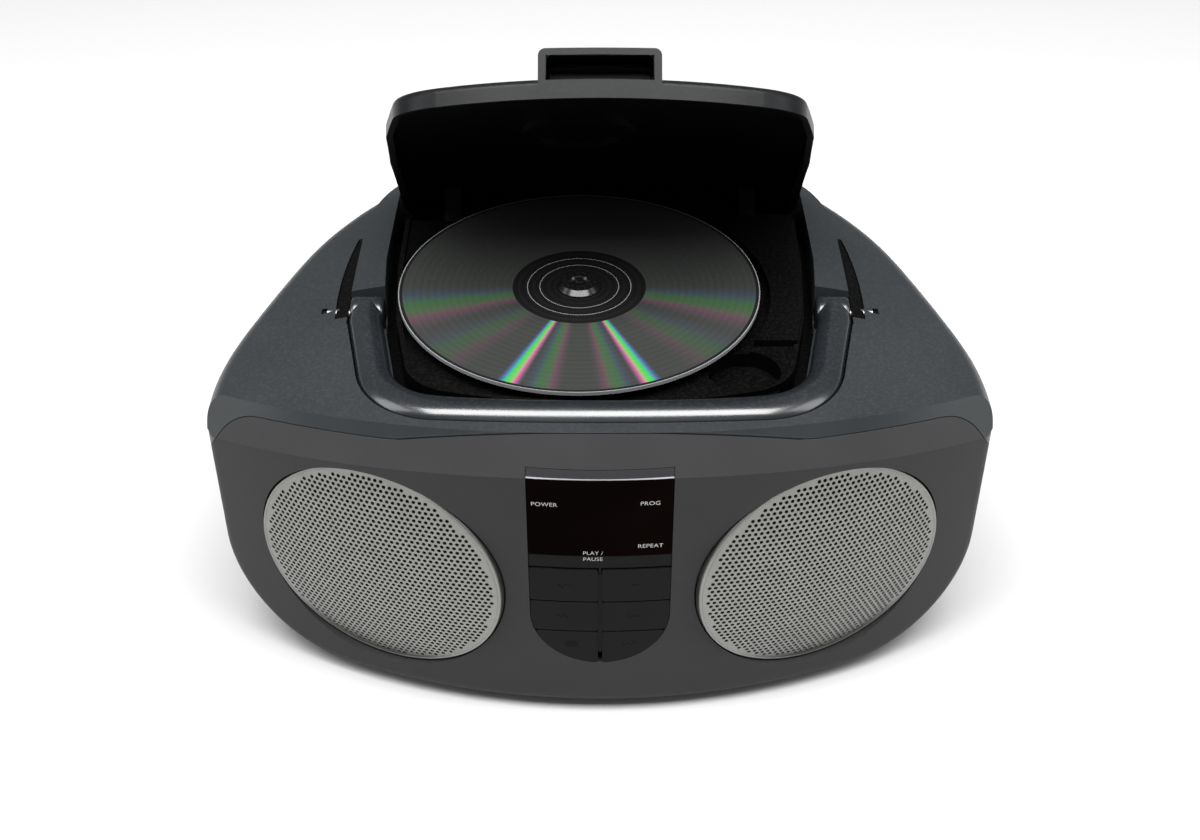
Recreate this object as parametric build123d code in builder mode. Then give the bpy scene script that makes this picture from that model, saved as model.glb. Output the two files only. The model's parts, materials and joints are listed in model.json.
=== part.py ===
from build123d import *
import os
from math import cos, radians, sin, sqrt

os.makedirs("parts", exist_ok=True)

# overall body, millimetres: x right, y away from the viewer, z up, feet stand on z = 0
foot_height = 3.0
half_width = 126.0
rear_y = 94.0
front_y = -94.0
front_radius = 215.0
front_tilt = 4.0
front_datum_z = 107.5
widest_y = -45.5
corner_radius = 42.0
rear_flat = 31.9
wall = 2.5
seat_gap = 0.3
seam_gap = 0.4
shell_gap = 0.4

# crowned top surfaces
crown_y = -10.5
housing_apex = 122.2
ring_apex = 124.0
lid_apex = 129.0
crown_side_radius = 425.0
crown_arch_radius = 700.0
lid_side_radius = 600.0
lid_arch_radius = 350.0
band_depth = 7.0
band_height = 11.5
top_edge_radius = 11.0
face_edge_radius = 6.0

# seam between the top housing and the two lower shells
seam_front_radius = 266.0
seam_front_y = -87.2
seam_arch_radius = 360.0
seam_arch_y = -53.5

# handle, shoulders and lid opening, all seen from above
bar_front_y = -82.4
bar_rear_y = -70.7
arm_end_y = -21.5
outer_corner_radius = 33.0
inner_corner_radius = 22.0
opening_half = 72.5
opening_rear_y = 81.5
opening_rear_radius = 21.0
shoulder_half = 82.5
handle_thickness = 8.0
handle_room = 0.8
recess_depth = 8.5
pivot_y = -13.5
pivot_z = 111.0
barrel_radius = 6.0
pin_radius = 2.0
pin_fit = 0.05

# lid and its hinge
hinge_y = 52.5
hinge_z = 102.8
open_angle = 42.8
lid_front_y = -69.6
lid_rear_y = 76.4
lid_half = 71.5
lid_wall = 2.2
lid_skirt = 6.0
lid_edge_radius = 2.2
lug_radius = 4.5
lug_x = 50.0
lug_width = 6.0

# disc compartment
disc_x = -6.9
disc_y = -5.5
disc_top = 117.0
disc_thickness = 1.2
disc_radius = 60.0
disc_bore = 7.5
well_radius = 63.5
well_floor = 112.0
deck_thickness = 2.5
groove_floor = 103.5
ledge_top = 115.5
trough_floor = 88.0
trough_y = 59.5

# control panel
panel_half = 22.15
lens_top = 108.0
lens_bottom = 73.5
strip_bottom = 67.6
row_lines = (67.6, 53.0, 39.4, 24.6)
key_gap = 0.45
divider = 1.4
key_thickness = 2.4

# speakers
speaker_x = 71.5
speaker_z = 55.4
speaker_yaw = 20.5
grille_radius = 42.0
grille_gap = 0.6
grille_sink = 2.4
grille_bulge = 5.0
grille_sheet = 1.2


def face_y(x, z):
    """y of the curved front face at one place"""
    return (front_y + 0.07 * (front_datum_z - z) + front_radius
            - sqrt(front_radius ** 2 - x ** 2))


def arch_plane(y, z, half_angle):
    """start plane of a revolve about a far axis along x, tilted to the front by the half angle"""
    lean = radians(half_angle)
    return Plane(origin=(0, y, z), x_dir=(1, 0, 0), z_dir=(0, -cos(lean), -sin(lean)))


def under_dome(apex, side_radius, arch_radius):
    """everything under a crowned surface whose highest point is at crown_y"""
    reach = 150.0
    depth = 240.0
    half_angle = 25.0
    drop = side_radius - sqrt(side_radius ** 2 - reach ** 2)
    with BuildPart() as dome:
        with BuildSketch(arch_plane(crown_y, apex - arch_radius, half_angle)):
            with BuildLine():
                arc = ThreePointArc((-reach, arch_radius - drop), (0, arch_radius),
                                    (reach, arch_radius - drop))
                Polyline(arc @ 1, (reach, arch_radius - depth), (-reach, arch_radius - depth), arc @ 0)
            make_face()
        revolve(axis=Axis((0, crown_y, apex - arch_radius), (-1, 0, 0)),
                revolution_arc=2 * half_angle)
    return dome.part


def prism(outline, low, high, grow=0.0):
    """a flat outline raised from one height to another"""
    with BuildPart() as block:
        with BuildSketch(Plane.XY.offset(low)):
            add(outline)
            if grow:
                offset(amount=grow, mode=Mode.REPLACE)
        extrude(amount=high - low)
    return block.part


def plan_outline(inset):
    """outline of the body from above, set in by a wall; the face closes it in front"""
    with BuildLine() as shape:
        side = Spline((half_width, widest_y), (114, 4.5), (96, 47.5), (75, 74.5),
                      tangents=((0, 1), (-0.66, 0.75)))
    points = []
    for step in range(7):
        place = side @ (step / 6)
        along = side % (step / 6)
        points.append((place.X - inset * along.Y, place.Y + inset * along.X))
    finish = side % 1
    with BuildSketch() as plan:
        with BuildLine():
            Line((half_width - inset, -150), points[0])
            flank = Spline(*points, tangents=((0, 1), (finish.X, finish.Y)))
            corner = TangentArc(flank @ 1, (rear_flat, rear_y - inset), tangent=flank % 1)
            Line(corner @ 1, (0, rear_y - inset))
            mirror(about=Plane.YZ)
            Line((half_width - inset, -150), (inset - half_width, -150))
        make_face()
    return plan.sketch


def front_round(inset):
    """solid behind the curved, slightly leaning front face"""
    with BuildPart() as drum:
        with Locations(Location((0, front_y + front_radius + 0.5, front_datum_z), (front_tilt, 0, 0))):
            Cylinder(front_radius - inset, 500)
    return drum.part


def body_block(inset, top_inset):
    """the body without edge treatment"""
    base = foot_height + inset
    outline = plan_outline(inset)
    with BuildPart() as block:
        with BuildSketch(Plane.XY.offset(base)):
            add(outline)
        extrude(amount=150)
        with BuildSketch(Plane.XZ):
            with Locations((0, base + 75)):
                front_view = Rectangle(2 * (half_width - inset), 150)
            fillet(front_view.vertices().group_by(Axis.Y)[0], corner_radius - inset)
        extrude(amount=160, both=True, mode=Mode.INTERSECT)
        add(front_round(inset), mode=Mode.INTERSECT)
        add(under_dome(housing_apex - top_inset, crown_side_radius, crown_arch_radius),
            mode=Mode.INTERSECT)
    return block.part


def inner_block(inset):
    """the hollow left by a wall of this thickness, stepped in under the rounded top edge"""
    with BuildPart() as block:
        add(body_block(inset, inset + 10.5))
        add(body_block(inset + 6.5, inset + 0.7))
    return block.part


def whole_body():
    """outer form with its front band, rounded top edge and rounded face edge"""
    with BuildPart() as body:
        add(body_block(0.0, 0.0))
        crest = body.edges().filter_by(
            lambda e: e.center().Z > 100 and e.center().Y < -60 and abs(e.center().X) < 2)
        chamfer(crest, length=band_depth, length2=band_height,
                reference=body.faces().sort_by(Axis.Z)[-1])
        rim = body.edges().filter_by(
            lambda e: e.center().Z > 100 and e.center().Y > -40
            and (abs(e.center().X) > 60 or e.center().Y > 80))
        fillet(rim, top_edge_radius)
        face_edge = body.edges().filter_by(
            lambda e: e.center().Y < -46.5 and e.center().Z < 100 and e.length > 20)
        fillet(face_edge, face_edge_radius)
    return body.part


outer = whole_body()
hollow = inner_block(wall)
hollow_top = inner_block(wall + shell_gap)
skin_core = inner_block(1.3)


def under_seam(drop):
    """everything under the arched seam surface"""
    base = 119.8 - seam_arch_radius
    half_angle = 60.0
    right = [(106, 103.5), (111, 101.9), (116.5, 98.4), (121, 93.5), (125, 87), (130, 78)]
    with BuildPart() as arch:
        with BuildSketch(arch_plane(seam_arch_y, base, half_angle)):
            with BuildLine():
                crown = ThreePointArc((-106, 103.5 - drop - base), (0, 115.3 - drop - base),
                                      (106, 103.5 - drop - base))
                edge = [(x, z - drop - base) for x, z in right]
                fall = Spline(*edge, tangents=((1, -0.226), (0.45, -0.9)))
                rise = Spline(*[(-x, z) for x, z in reversed(edge)], tangents=((0.45, 0.9), (1, 0.226)))
                Polyline(fall @ 1, (130, 100), (-130, 100), rise @ 0)
            make_face()
        revolve(axis=Axis((0, seam_arch_y, base), (-1, 0, 0)), revolution_arc=2 * half_angle)
    return arch.part


def top_zone(grow):
    """the space that belongs to the top housing"""
    with BuildPart() as zone:
        with BuildSketch(Plane.XY.offset(60)):
            with Locations((0, seam_front_y + seam_front_radius)):
                Circle(seam_front_radius + grow)
        extrude(amount=80)
        add(under_seam(grow), mode=Mode.SUBTRACT)
    return zone.part


housing_zone = top_zone(0.0)
groove_zone = top_zone(seam_gap)

# opening for the lid, seen from above
with BuildSketch() as opening:
    with BuildLine():
        front = ThreePointArc((-62.9, -60.0), (0, bar_rear_y), (62.9, -60.0))
        Line((62.9, -60.0), (70.4, -20))
        Line((70.4, -20), (opening_half, 11.5))
        Line((opening_half, 11.5), (opening_half, opening_rear_y))
        Line((opening_half, opening_rear_y), (-opening_half, opening_rear_y))
        Line((-opening_half, opening_rear_y), (-opening_half, 11.5))
        Line((-opening_half, 11.5), (-70.4, -20))
        Line((-70.4, -20), (-62.9, -60.0))
    make_face()
    fillet(opening.vertices().group_by(Axis.Y)[-1], opening_rear_radius)
    fillet(opening.vertices().filter_by(lambda v: abs(v.Y + 60.0) < 0.1), inner_corner_radius)

# outer outline of the handle, closed across the back
with BuildSketch() as handle_outer:
    with BuildLine():
        ThreePointArc((-72, -72.5), (0, bar_front_y), (72, -72.5))
        Line((72, -72.5), (82.2, arm_end_y))
        Line((82.2, arm_end_y), (82.2, pivot_y))
        Line((82.2, pivot_y), (-82.2, pivot_y))
        Line((-82.2, pivot_y), (-82.2, arm_end_y))
        Line((-82.2, arm_end_y), (-72, -72.5))
    make_face()
    fillet(handle_outer.vertices().filter_by(lambda v: abs(v.Y + 72.5) < 0.1), outer_corner_radius)

# raised shoulders beside the opening, dying out towards the rear corners
with BuildSketch() as shoulders:
    with BuildLine():
        Line((shoulder_half, pivot_y - 6), (shoulder_half, 31))
        tail = Spline((shoulder_half, 31), (80.5, 52), (70.5, 72), tangents=((0, 1), (-0.75, 0.66)))
        Line(tail @ 1, (60, 72))
        Line((60, 72), (60, pivot_y - 6))
        Line((60, pivot_y - 6), (shoulder_half, pivot_y - 6))
    make_face()
    mirror(about=Plane.YZ)

# crescent slots beside the handle pivots
with BuildSketch() as slots:
    with BuildLine():
        Line((82.7, -19.5), (86.9, -19.5))
        outer_side = Spline((86.9, -19.5), (87.2, 6), (84.6, 31))
        tip = ThreePointArc((84.6, 31), (83.6, 31.8), (82.7, 31))
        Line((82.7, 31), (82.7, -19.5))
    make_face()
    mirror(about=Plane.YZ)

under_ring = under_dome(ring_apex, crown_side_radius, crown_arch_radius)
recess_floor = under_dome(ring_apex - recess_depth, crown_side_radius, crown_arch_radius)
band_bottom = groove_floor + seat_gap
notch_half = 57.0
notch_y = 84.2
notch_floor = 94.0
antenna_x = 52.0
antenna_y = 88.0
antenna_z = 99.0

# top housing: crowned shell, ring bed of the handle, shoulders and antenna shelf
with BuildPart() as top_housing:
    add(outer)
    add(hollow_top, mode=Mode.SUBTRACT)
    add(housing_zone, mode=Mode.INTERSECT)
    add(prism(opening.sketch, band_bottom, 140, 18.0) & hollow_top & under_dome(
        housing_apex - 0.5, crown_side_radius, crown_arch_radius))
    with BuildSketch(Plane.XY.offset(notch_floor - 3)):
        with Locations((0, opening_rear_y + 5)):
            Rectangle(2 * notch_half + 8, 14)
    shelf = extrude(amount=30, mode=Mode.PRIVATE)
    add(shelf & hollow_top)
    add(prism(shoulders.sketch, 108, 130) & under_ring)
    add(prism(opening.sketch, 60, 140), mode=Mode.SUBTRACT)
    add(prism(handle_outer.sketch, 90, 140, 0.5) - recess_floor, mode=Mode.SUBTRACT)
    for mirror_side in (-1, 1):
        with Locations(Location((mirror_side * 76.35, pivot_y, pivot_z), (0, 90, 0))):
            Cylinder(barrel_radius + 0.5, 12.7, mode=Mode.SUBTRACT)
        with Locations((mirror_side * 76.35, pivot_y - 1.7, pivot_z + 10)):
            Box(12.7, 2 * barrel_radius + 4.6, 20, mode=Mode.SUBTRACT)
        with Locations(Location((mirror_side * 82, pivot_y, pivot_z), (0, 90, 0))):
            Cylinder(pin_radius, 20, mode=Mode.SUBTRACT)
    add(prism(slots.sketch, pivot_z - 4.5, 140), mode=Mode.SUBTRACT)
    with BuildSketch(Plane.XY.offset(notch_floor)):
        with Locations(((notch_half - half_width) / 2, notch_y + 20)):
            Rectangle(notch_half + half_width, 40)
    extrude(amount=40, mode=Mode.SUBTRACT)
    with Locations(Location((antenna_x, notch_y + 2.5, antenna_z), (90, 0, 0))):
        Cylinder(1.5, 7)
top_housing.part.label = "top_housing"
export_step(top_housing.part, "parts/top_housing.step")

# lower shells: front panel and rear cabinet, parted at the widest line
with BuildPart() as lower_shell:
    add(outer)
    add(hollow, mode=Mode.SUBTRACT)
    add(housing_zone, mode=Mode.SUBTRACT)
    add(groove_zone - skin_core, mode=Mode.SUBTRACT)


def speaker_plane(side, depth=0.0):
    """plane on the face at one speaker, facing outward"""
    yaw = radians(speaker_yaw)
    tilt = radians(front_tilt)
    normal = Vector(side * sin(yaw) * cos(tilt), -cos(yaw) * cos(tilt), -sin(tilt))
    centre = Vector(side * speaker_x, face_y(speaker_x, speaker_z), speaker_z)
    return Plane(origin=centre - normal * depth, x_dir=(cos(yaw), side * sin(yaw), 0), z_dir=normal)


# sketch plane of the control panel, lying on the middle of the face
face_plane = Plane(origin=(0, front_y, front_datum_z), x_dir=(1, 0, 0),
                   z_dir=(0, -cos(radians(front_tilt)), -sin(radians(front_tilt))))


def level(z):
    """height on the face plane for a height on the body"""
    return (z - front_datum_z) / cos(radians(front_tilt))


arch_centre = row_lines[3] + panel_half


def panel_outline(low, high, grow=0.0, half=panel_half):
    """part of the U between two heights"""
    with BuildSketch() as shape:
        with Locations((0, (level(arch_centre) + level(112)) / 2)):
            Rectangle(2 * half, level(112) - level(arch_centre))
        with Locations((0, level(arch_centre))):
            Circle(half)
        with Locations((0, (level(low) + level(high)) / 2)):
            Rectangle(4 * half, level(high) - level(low), mode=Mode.INTERSECT)
        if grow:
            offset(amount=grow, mode=Mode.REPLACE)
    return shape.sketch


def from_face(outline, deep=20.0):
    """an outline on the face pushed through the face in both directions"""
    with BuildPart() as block:
        with BuildSketch(face_plane):
            add(outline)
        extrude(amount=deep, both=True)
    return block.part


def behind_face(inset):
    return front_round(inset)


window_cut = from_face(panel_outline(row_lines[3] - 1, lens_top, 0.2))
baffle_depth = 9.0
baffle_thickness = 2.0
tube_wall = 2.0

# front panel: curved face, speaker openings with baffles, U window
with BuildPart() as front_panel:
    add(lower_shell.part)
    with Locations((0, widest_y + 100 - seam_gap / 2, 60)):
        Box(300, 200, 200, mode=Mode.SUBTRACT)
    for side_sign in (-1, 1):
        with BuildSketch(speaker_plane(side_sign, baffle_depth)):
            Circle(grille_radius + grille_gap + tube_wall)
        tube = extrude(amount=baffle_depth + 6, mode=Mode.PRIVATE)
        add(tube & hollow)
        with BuildSketch(speaker_plane(side_sign, baffle_depth - baffle_thickness)):
            Circle(grille_radius + grille_gap)
        extrude(amount=40, mode=Mode.SUBTRACT)
        with BuildSketch(speaker_plane(side_sign, 20)):
            Circle(33)
        extrude(amount=40, mode=Mode.SUBTRACT)
    add(window_cut, mode=Mode.SUBTRACT)
front_panel.part.label = "front_panel"
export_step(front_panel.part, "parts/front_panel.step")

bay_half = 51.0
bay_low = 9.5
bay_high = 60.0
bay_front_y = 59.0
door_low = 8.95
door_high = 61.5
door_half = 52.0
door_thickness = 2.4
door_y = 88.6
door_pivot_y = door_y - door_thickness / 2
door_pivot_z = door_low + door_thickness / 2
inlet_x = -35.0
inlet_z = 71.0
jack_x = 36.0
jack_z = 71.0
jack_radius = 1.8
board_z = 64.0
board_thickness = 1.6
wheel_x = 112.0
wheel_y = -20.0
wheel_radius = 12.0
wheel_low = 72.0
wheel_height = 6.0
switch_z = 54.5
switch_y = -20.0
screw_spots = [(-70, -30), (70, -30), (-70, 38), (70, 38)]
foot_spots = [(-60, -60), (60, -60), (-50, 50), (50, 50)]

# rear cabinet: floor, rear and sides, battery bay, board posts
with BuildPart() as rear_cabinet:
    add(lower_shell.part)
    with Locations((0, widest_y - 100 + seam_gap / 2, 60)):
        Box(300, 200, 200, mode=Mode.SUBTRACT)
    scraps = rear_cabinet.part.solids().sort_by(SortBy.VOLUME)[:-1]
    add(scraps, mode=Mode.SUBTRACT)
    with Locations((0, (bay_front_y + rear_y) / 2, (bay_low + bay_high) / 2)):
        bay_walls = Box(2 * door_half + 8, rear_y - bay_front_y + 4, door_high - bay_low + 7,
                        mode=Mode.PRIVATE)
    add(bay_walls & hollow)
    with Locations((0, bay_front_y + 25, (bay_low + bay_high) / 2)):
        Box(2 * bay_half, 50, bay_high - bay_low, mode=Mode.SUBTRACT)
    with Locations((0, door_y - door_thickness + 10, (door_low + door_high) / 2)):
        Box(2 * door_half + 0.8, 20, door_high - door_low + 0.8, mode=Mode.SUBTRACT)
    with Locations(Location((0, door_pivot_y, door_pivot_z), (0, 90, 0))):
        Cylinder(1.0 + pin_fit, 2 * door_half + 4, mode=Mode.SUBTRACT)
    with Locations((inlet_x, rear_y, inlet_z)):
        Box(22.6, 10, 11.6, mode=Mode.SUBTRACT)
    with Locations(Location((jack_x, rear_y, jack_z), (90, 0, 0))):
        Cylinder(4.2, 12, mode=Mode.SUBTRACT)
    for side_sign in (-1, 1):
        with Locations((side_sign * 120, wheel_y, wheel_low + wheel_height / 2)):
            Box(14, 25, wheel_height + 1.2, mode=Mode.SUBTRACT)
        with Locations((side_sign * 120, switch_y, switch_z)):
            Box(14, 5.6, 12.6, mode=Mode.SUBTRACT)
    with BuildSketch(Plane.XY.offset(foot_height + 1)):
        with Locations(*screw_spots):
            Circle(4.2)
    extrude(amount=20)
    with BuildSketch(Plane.XY.offset(foot_height - 1)):
        with Locations(*screw_spots):
            Circle(3.2)
    extrude(amount=3.0, mode=Mode.SUBTRACT)
    with BuildSketch(Plane.XY.offset(foot_height)):
        with Locations(*screw_spots):
            Circle(1.55)
    extrude(amount=18, mode=Mode.SUBTRACT)
    with BuildSketch(Plane.XY.offset(foot_height + 1)):
        with Locations((-84, -38), (84, -38), (-70, 50), (70, 50)):
            Circle(3.5)
    extrude(amount=board_z - foot_height - 1)
rear_cabinet.part.label = "rear_cabinet"
export_step(rear_cabinet.part, "parts/rear_cabinet.step")

# grilles: domed sheet with a rolled rim
bulge_radius = (grille_radius ** 2 + grille_bulge ** 2) / (2 * grille_bulge)
grille_skirt = 3.6


def grille(side_sign):
    with BuildPart() as cover:
        with BuildSketch(Plane.XZ):
            with BuildLine():
                Line((0, grille_bulge), (0, grille_bulge - grille_sheet))
                under = RadiusArc((0, grille_bulge - grille_sheet), (grille_radius - 1.6, -0.35),
                                  bulge_radius - grille_sheet)
                Line(under @ 1, (grille_radius - 1.6, -grille_skirt))
                Line((grille_radius - 1.6, -grille_skirt), (grille_radius, -grille_skirt))
                Line((grille_radius, -grille_skirt), (grille_radius, 0))
                over = RadiusArc((grille_radius, 0), (0, grille_bulge), -bulge_radius)
            make_face()
        revolve(axis=Axis.Z)
    return speaker_plane(side_sign, grille_sink).location * cover.part


left_grille = grille(-1)
right_grille = grille(1)
for name, item in (("left_grille", left_grille), ("right_grille", right_grille)):
    item.label = name
    export_step(item, "parts/" + name + ".step")

# deck with the disc well, lid groove and hinge trough
with BuildSketch() as trough:
    add(opening.sketch)
    with Locations((0, trough_y + 50)):
        Rectangle(200, 100, mode=Mode.INTERSECT)
with BuildSketch() as pockets:
    add(opening.sketch)
    with Locations((60, 52), (-60, 52)):
        Rectangle(28, 17, mode=Mode.INTERSECT)
trough_outline = trough.sketch + pockets.sketch

ear_x = lug_x + lug_width + 1
ear_width = 4.0
recess_x = 45.5
recess_y = -49.1
recess_radius = 11.5
recess_deep = 5.0
pin_seat = 0.02
mount_spots = [(-48, -55), (34, -55), (-48, 30), (34, 30)]
plate_top = 95.0
plate_thickness = 2.0
rod_z = 103.0
rod_spread = 20.0
window_half = 11.0
hub_hole = 16.0

with BuildSketch() as ledge:
    add(opening.sketch)
    offset(amount=-4.5, mode=Mode.REPLACE)
    with Locations((65, 7)):
        Rectangle(40, 84, mode=Mode.INTERSECT)
    with Locations((disc_x, disc_y)):
        Circle(well_radius, mode=Mode.SUBTRACT)

skirt_room = inner_block(wall + shell_gap + seat_gap)
with BuildPart() as disc_well:
    add(prism(opening.sketch, well_floor - deck_thickness, well_floor + 1, -3.7))
    with BuildSketch(Plane.XY.offset(well_floor)):
        with Locations((disc_x, disc_y)):
            Circle(well_radius)
    extrude(amount=10, mode=Mode.SUBTRACT)
    add(prism(ledge.sketch, well_floor - 1, ledge_top))
    add(prism(opening.sketch, groove_floor - 2, 114, -3.7) - prism(opening.sketch, 90, 130, -5.3))
    add((prism(opening.sketch, groove_floor - 2, groove_floor, 6)
         - prism(opening.sketch, 90, 130, -5.2)) & skirt_room)
    with BuildSketch(Plane.XY.offset(well_floor - recess_deep - 1.5)):
        with Locations((recess_x, recess_y)):
            Circle(recess_radius + 1.5)
    extrude(amount=recess_deep + 1)
    with BuildSketch(Plane.XY.offset(well_floor - recess_deep)):
        with Locations((recess_x, recess_y)):
            Circle(recess_radius)
    extrude(amount=20, mode=Mode.SUBTRACT)
    with BuildSketch(Plane.XY.offset(well_floor - deck_thickness - 11.3)):
        with Locations(*mount_spots):
            Circle(3.5)
    extrude(amount=11.6)
    with BuildSketch(Plane.XY.offset(plate_top - plate_thickness - 4)):
        with Locations(*mount_spots):
            Circle(2)
    extrude(amount=12)
    add(prism(trough_outline, trough_floor - 2, groove_floor, 1.6) & skirt_room)
    add(prism(trough_outline, groove_floor - 2, well_floor, 1.6)
        & prism(opening.sketch, groove_floor - 2, well_floor, -3.7))
    add(prism(trough_outline, trough_floor, 130), mode=Mode.SUBTRACT)
    with Locations((0, opening_rear_y + 16.5, trough_floor + 22.7)):
        Box(200, 40, 40, mode=Mode.SUBTRACT)
    for side_sign in (-1, 1):
        with Locations((side_sign * (ear_x + ear_width / 2), hinge_y, (trough_floor - 1 + hinge_z) / 2)):
            Box(ear_width, 10, hinge_z - trough_floor + 1)
        with Locations(Location((side_sign * (ear_x + ear_width / 2), hinge_y, hinge_z), (0, 90, 0))):
            Cylinder(5, ear_width)
        with Locations(Location((side_sign * (ear_x - 4), hinge_y, hinge_z), (0, 90, 0))):
            Cylinder(pin_radius + pin_seat, 18, mode=Mode.SUBTRACT)
    with BuildSketch(Plane.XY.offset(well_floor - deck_thickness - 1)):
        with Locations((disc_x, disc_y)):
            Circle(hub_hole)
        with Locations((disc_x, -40)):
            RectangleRounded(2 * window_half, 44, 3)
    extrude(amount=20, mode=Mode.SUBTRACT)
disc_well.part.label = "disc_well"
export_step(disc_well.part, "parts/disc_well.step")

# handle: bowed bar with two arms ending in barrels on the pivot line
inner_edge = scale(opening.sketch, by=1 + handle_room / opening_half, mode=Mode.PRIVATE)
with BuildSketch() as handle_plan:
    add(handle_outer.sketch)
    add(inner_edge, mode=Mode.SUBTRACT)
under_handle = under_dome(ring_apex - handle_thickness, crown_side_radius, crown_arch_radius)
with BuildPart() as handle:
    add(prism(handle_plan.sketch, 90, 140) & under_ring)
    crest = handle.faces().sort_by(Axis.Z)[-1].edges().filter_by(lambda e: e.center().Y < pivot_y - 1)
    fillet(crest, 2.6)
    add(under_handle, mode=Mode.SUBTRACT)
    for side_sign in (-1, 1):
        with Locations(Location((side_sign * 76.6, pivot_y, pivot_z), (0, 90, 0))):
            Cylinder(barrel_radius, 11.2)
        with Locations(Location((side_sign * 80, pivot_y, pivot_z), (0, 90, 0))):
            Cylinder(pin_radius + pin_fit, 9, mode=Mode.SUBTRACT)
handle.part.label = "handle"
export_step(handle.part, "parts/handle.step")

with BuildPart() as handle_pins:
    for side_sign in (-1, 1):
        with Locations(Location((side_sign * 83, pivot_y, pivot_z), (0, 90, 0))):
            Cylinder(pin_radius - pin_seat, 14)
handle_pins.part.label = "handle_pins"
export_step(handle_pins.part, "parts/handle_pins.step")

# lid: built closed, then turned about its hinge into the open pose
with BuildSketch() as lid_plan:
    with BuildLine():
        ThreePointArc((-61.8, -58.9), (0, lid_front_y), (61.8, -58.9))
        Line((61.8, -58.9), (69.3, -20))
        Line((69.3, -20), (lid_half, 11.5))
        Line((lid_half, 11.5), (lid_half, lid_rear_y))
        Line((lid_half, lid_rear_y), (-lid_half, lid_rear_y))
        Line((-lid_half, lid_rear_y), (-lid_half, 11.5))
        Line((-lid_half, 11.5), (-69.3, -20))
        Line((-69.3, -20), (-61.8, -58.9))
    make_face()
    fillet(lid_plan.vertices().group_by(Axis.Y)[-1], 25)
    fillet(lid_plan.vertices().filter_by(lambda v: abs(v.Y + 58.9) < 0.1), 21)


def under_lid(depth):
    return under_dome(lid_apex - depth, lid_side_radius, lid_arch_radius)


hood_half = 18.5
hood_top = 133.5
hood_wall = 2.3
lid_swing = (Pos(0, hinge_y, hinge_z) * Rot(-open_angle, 0, 0) * Pos(0, -hinge_y, -hinge_z))

with BuildPart() as lid_shell:
    add(prism(lid_plan.sketch, 90, 140) & under_lid(0))
    lid_edge = lid_shell.faces().sort_by(Axis.Z)[-1].edges()
    fillet(lid_edge, lid_edge_radius)
    add(under_lid(lid_skirt), mode=Mode.SUBTRACT)
    with BuildSketch(Plane.YZ):
        with BuildLine():
            Polyline((-80, 121), (-80, hood_top - 1), (-66, hood_top), (-57, hood_top - 0.8),
                     (-40, 127), (-40, 121), (-80, 121))
        make_face()
    hood = extrude(amount=hood_half, both=True, mode=Mode.PRIVATE)
    hood = hood.fillet(2.2, hood.edges().filter_by(lambda e: abs(e.center().X) > hood_half - 1
                                                   and e.center().Z > 129 and e.length > 5))
    add(hood & prism(lid_plan.sketch, 90, 140))
    add(prism(lid_plan.sketch, 90, 140, -lid_wall) & under_lid(lid_wall), mode=Mode.SUBTRACT)
    with Locations((0, -66, (121 + hood_top - hood_wall) / 2)):
        cavity = Box(2 * (hood_half - hood_wall), 16, hood_top - hood_wall - 121, mode=Mode.PRIVATE)
    add(cavity - under_lid(0.3), mode=Mode.SUBTRACT)
lid_open = lid_swing * lid_shell.part
lid_open.label = "lid_shell"
export_step(lid_open, "parts/lid_shell.step")

liner_depth = 1.1
with BuildPart() as lid_liner:
    add(prism(lid_plan.sketch, 90, 140, -lid_wall - seat_gap) & under_lid(lid_wall + 0.2))
    add(under_lid(lid_wall + liner_depth), mode=Mode.SUBTRACT)
    with Locations((disc_x, disc_y, 130)):
        clamp = Cylinder(19, 20, mode=Mode.PRIVATE) - Cylinder(15, 20, mode=Mode.PRIVATE)
    add((clamp & under_lid(lid_wall + 0.5)) - under_lid(lid_wall + 3.2))
    for side_sign in (-1, 1):
        with BuildSketch(Plane.YZ.offset(side_sign * (lug_x + lug_width / 2))):
            with Locations((hinge_y, hinge_z)):
                Circle(lug_radius)
            with Locations((hinge_y, hinge_z + 10)):
                Rectangle(2 * lug_radius, 20)
        lug = extrude(amount=lug_width / 2, both=True, mode=Mode.PRIVATE)
        add(lug & under_lid(lid_wall + 0.2))
        with Locations(Location((side_sign * (lug_x + lug_width / 2), hinge_y, hinge_z), (0, 90, 0))):
            Cylinder(pin_radius + pin_fit, 20, mode=Mode.SUBTRACT)
liner_open = lid_swing * lid_liner.part
liner_open.label = "lid_liner"
export_step(liner_open, "parts/lid_liner.step")

with BuildPart() as hinge_pins:
    for side_sign in (-1, 1):
        with Locations(Location((side_sign * 53, hinge_y, hinge_z), (0, 90, 0))):
            Cylinder(pin_radius - pin_seat, 16.4)
hinge_pins.part.label = "hinge_pins"
export_step(hinge_pins.part, "parts/hinge_pins.step")

# disc on its hub
with BuildPart() as disc:
    with BuildSketch(Plane.XY.offset(disc_top - disc_thickness)):
        with Locations((disc_x, disc_y)):
            Circle(disc_radius)
            Circle(disc_bore, mode=Mode.SUBTRACT)
    extrude(amount=disc_thickness)
disc.part.label = "disc"
export_step(disc.part, "parts/disc.step")

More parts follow.
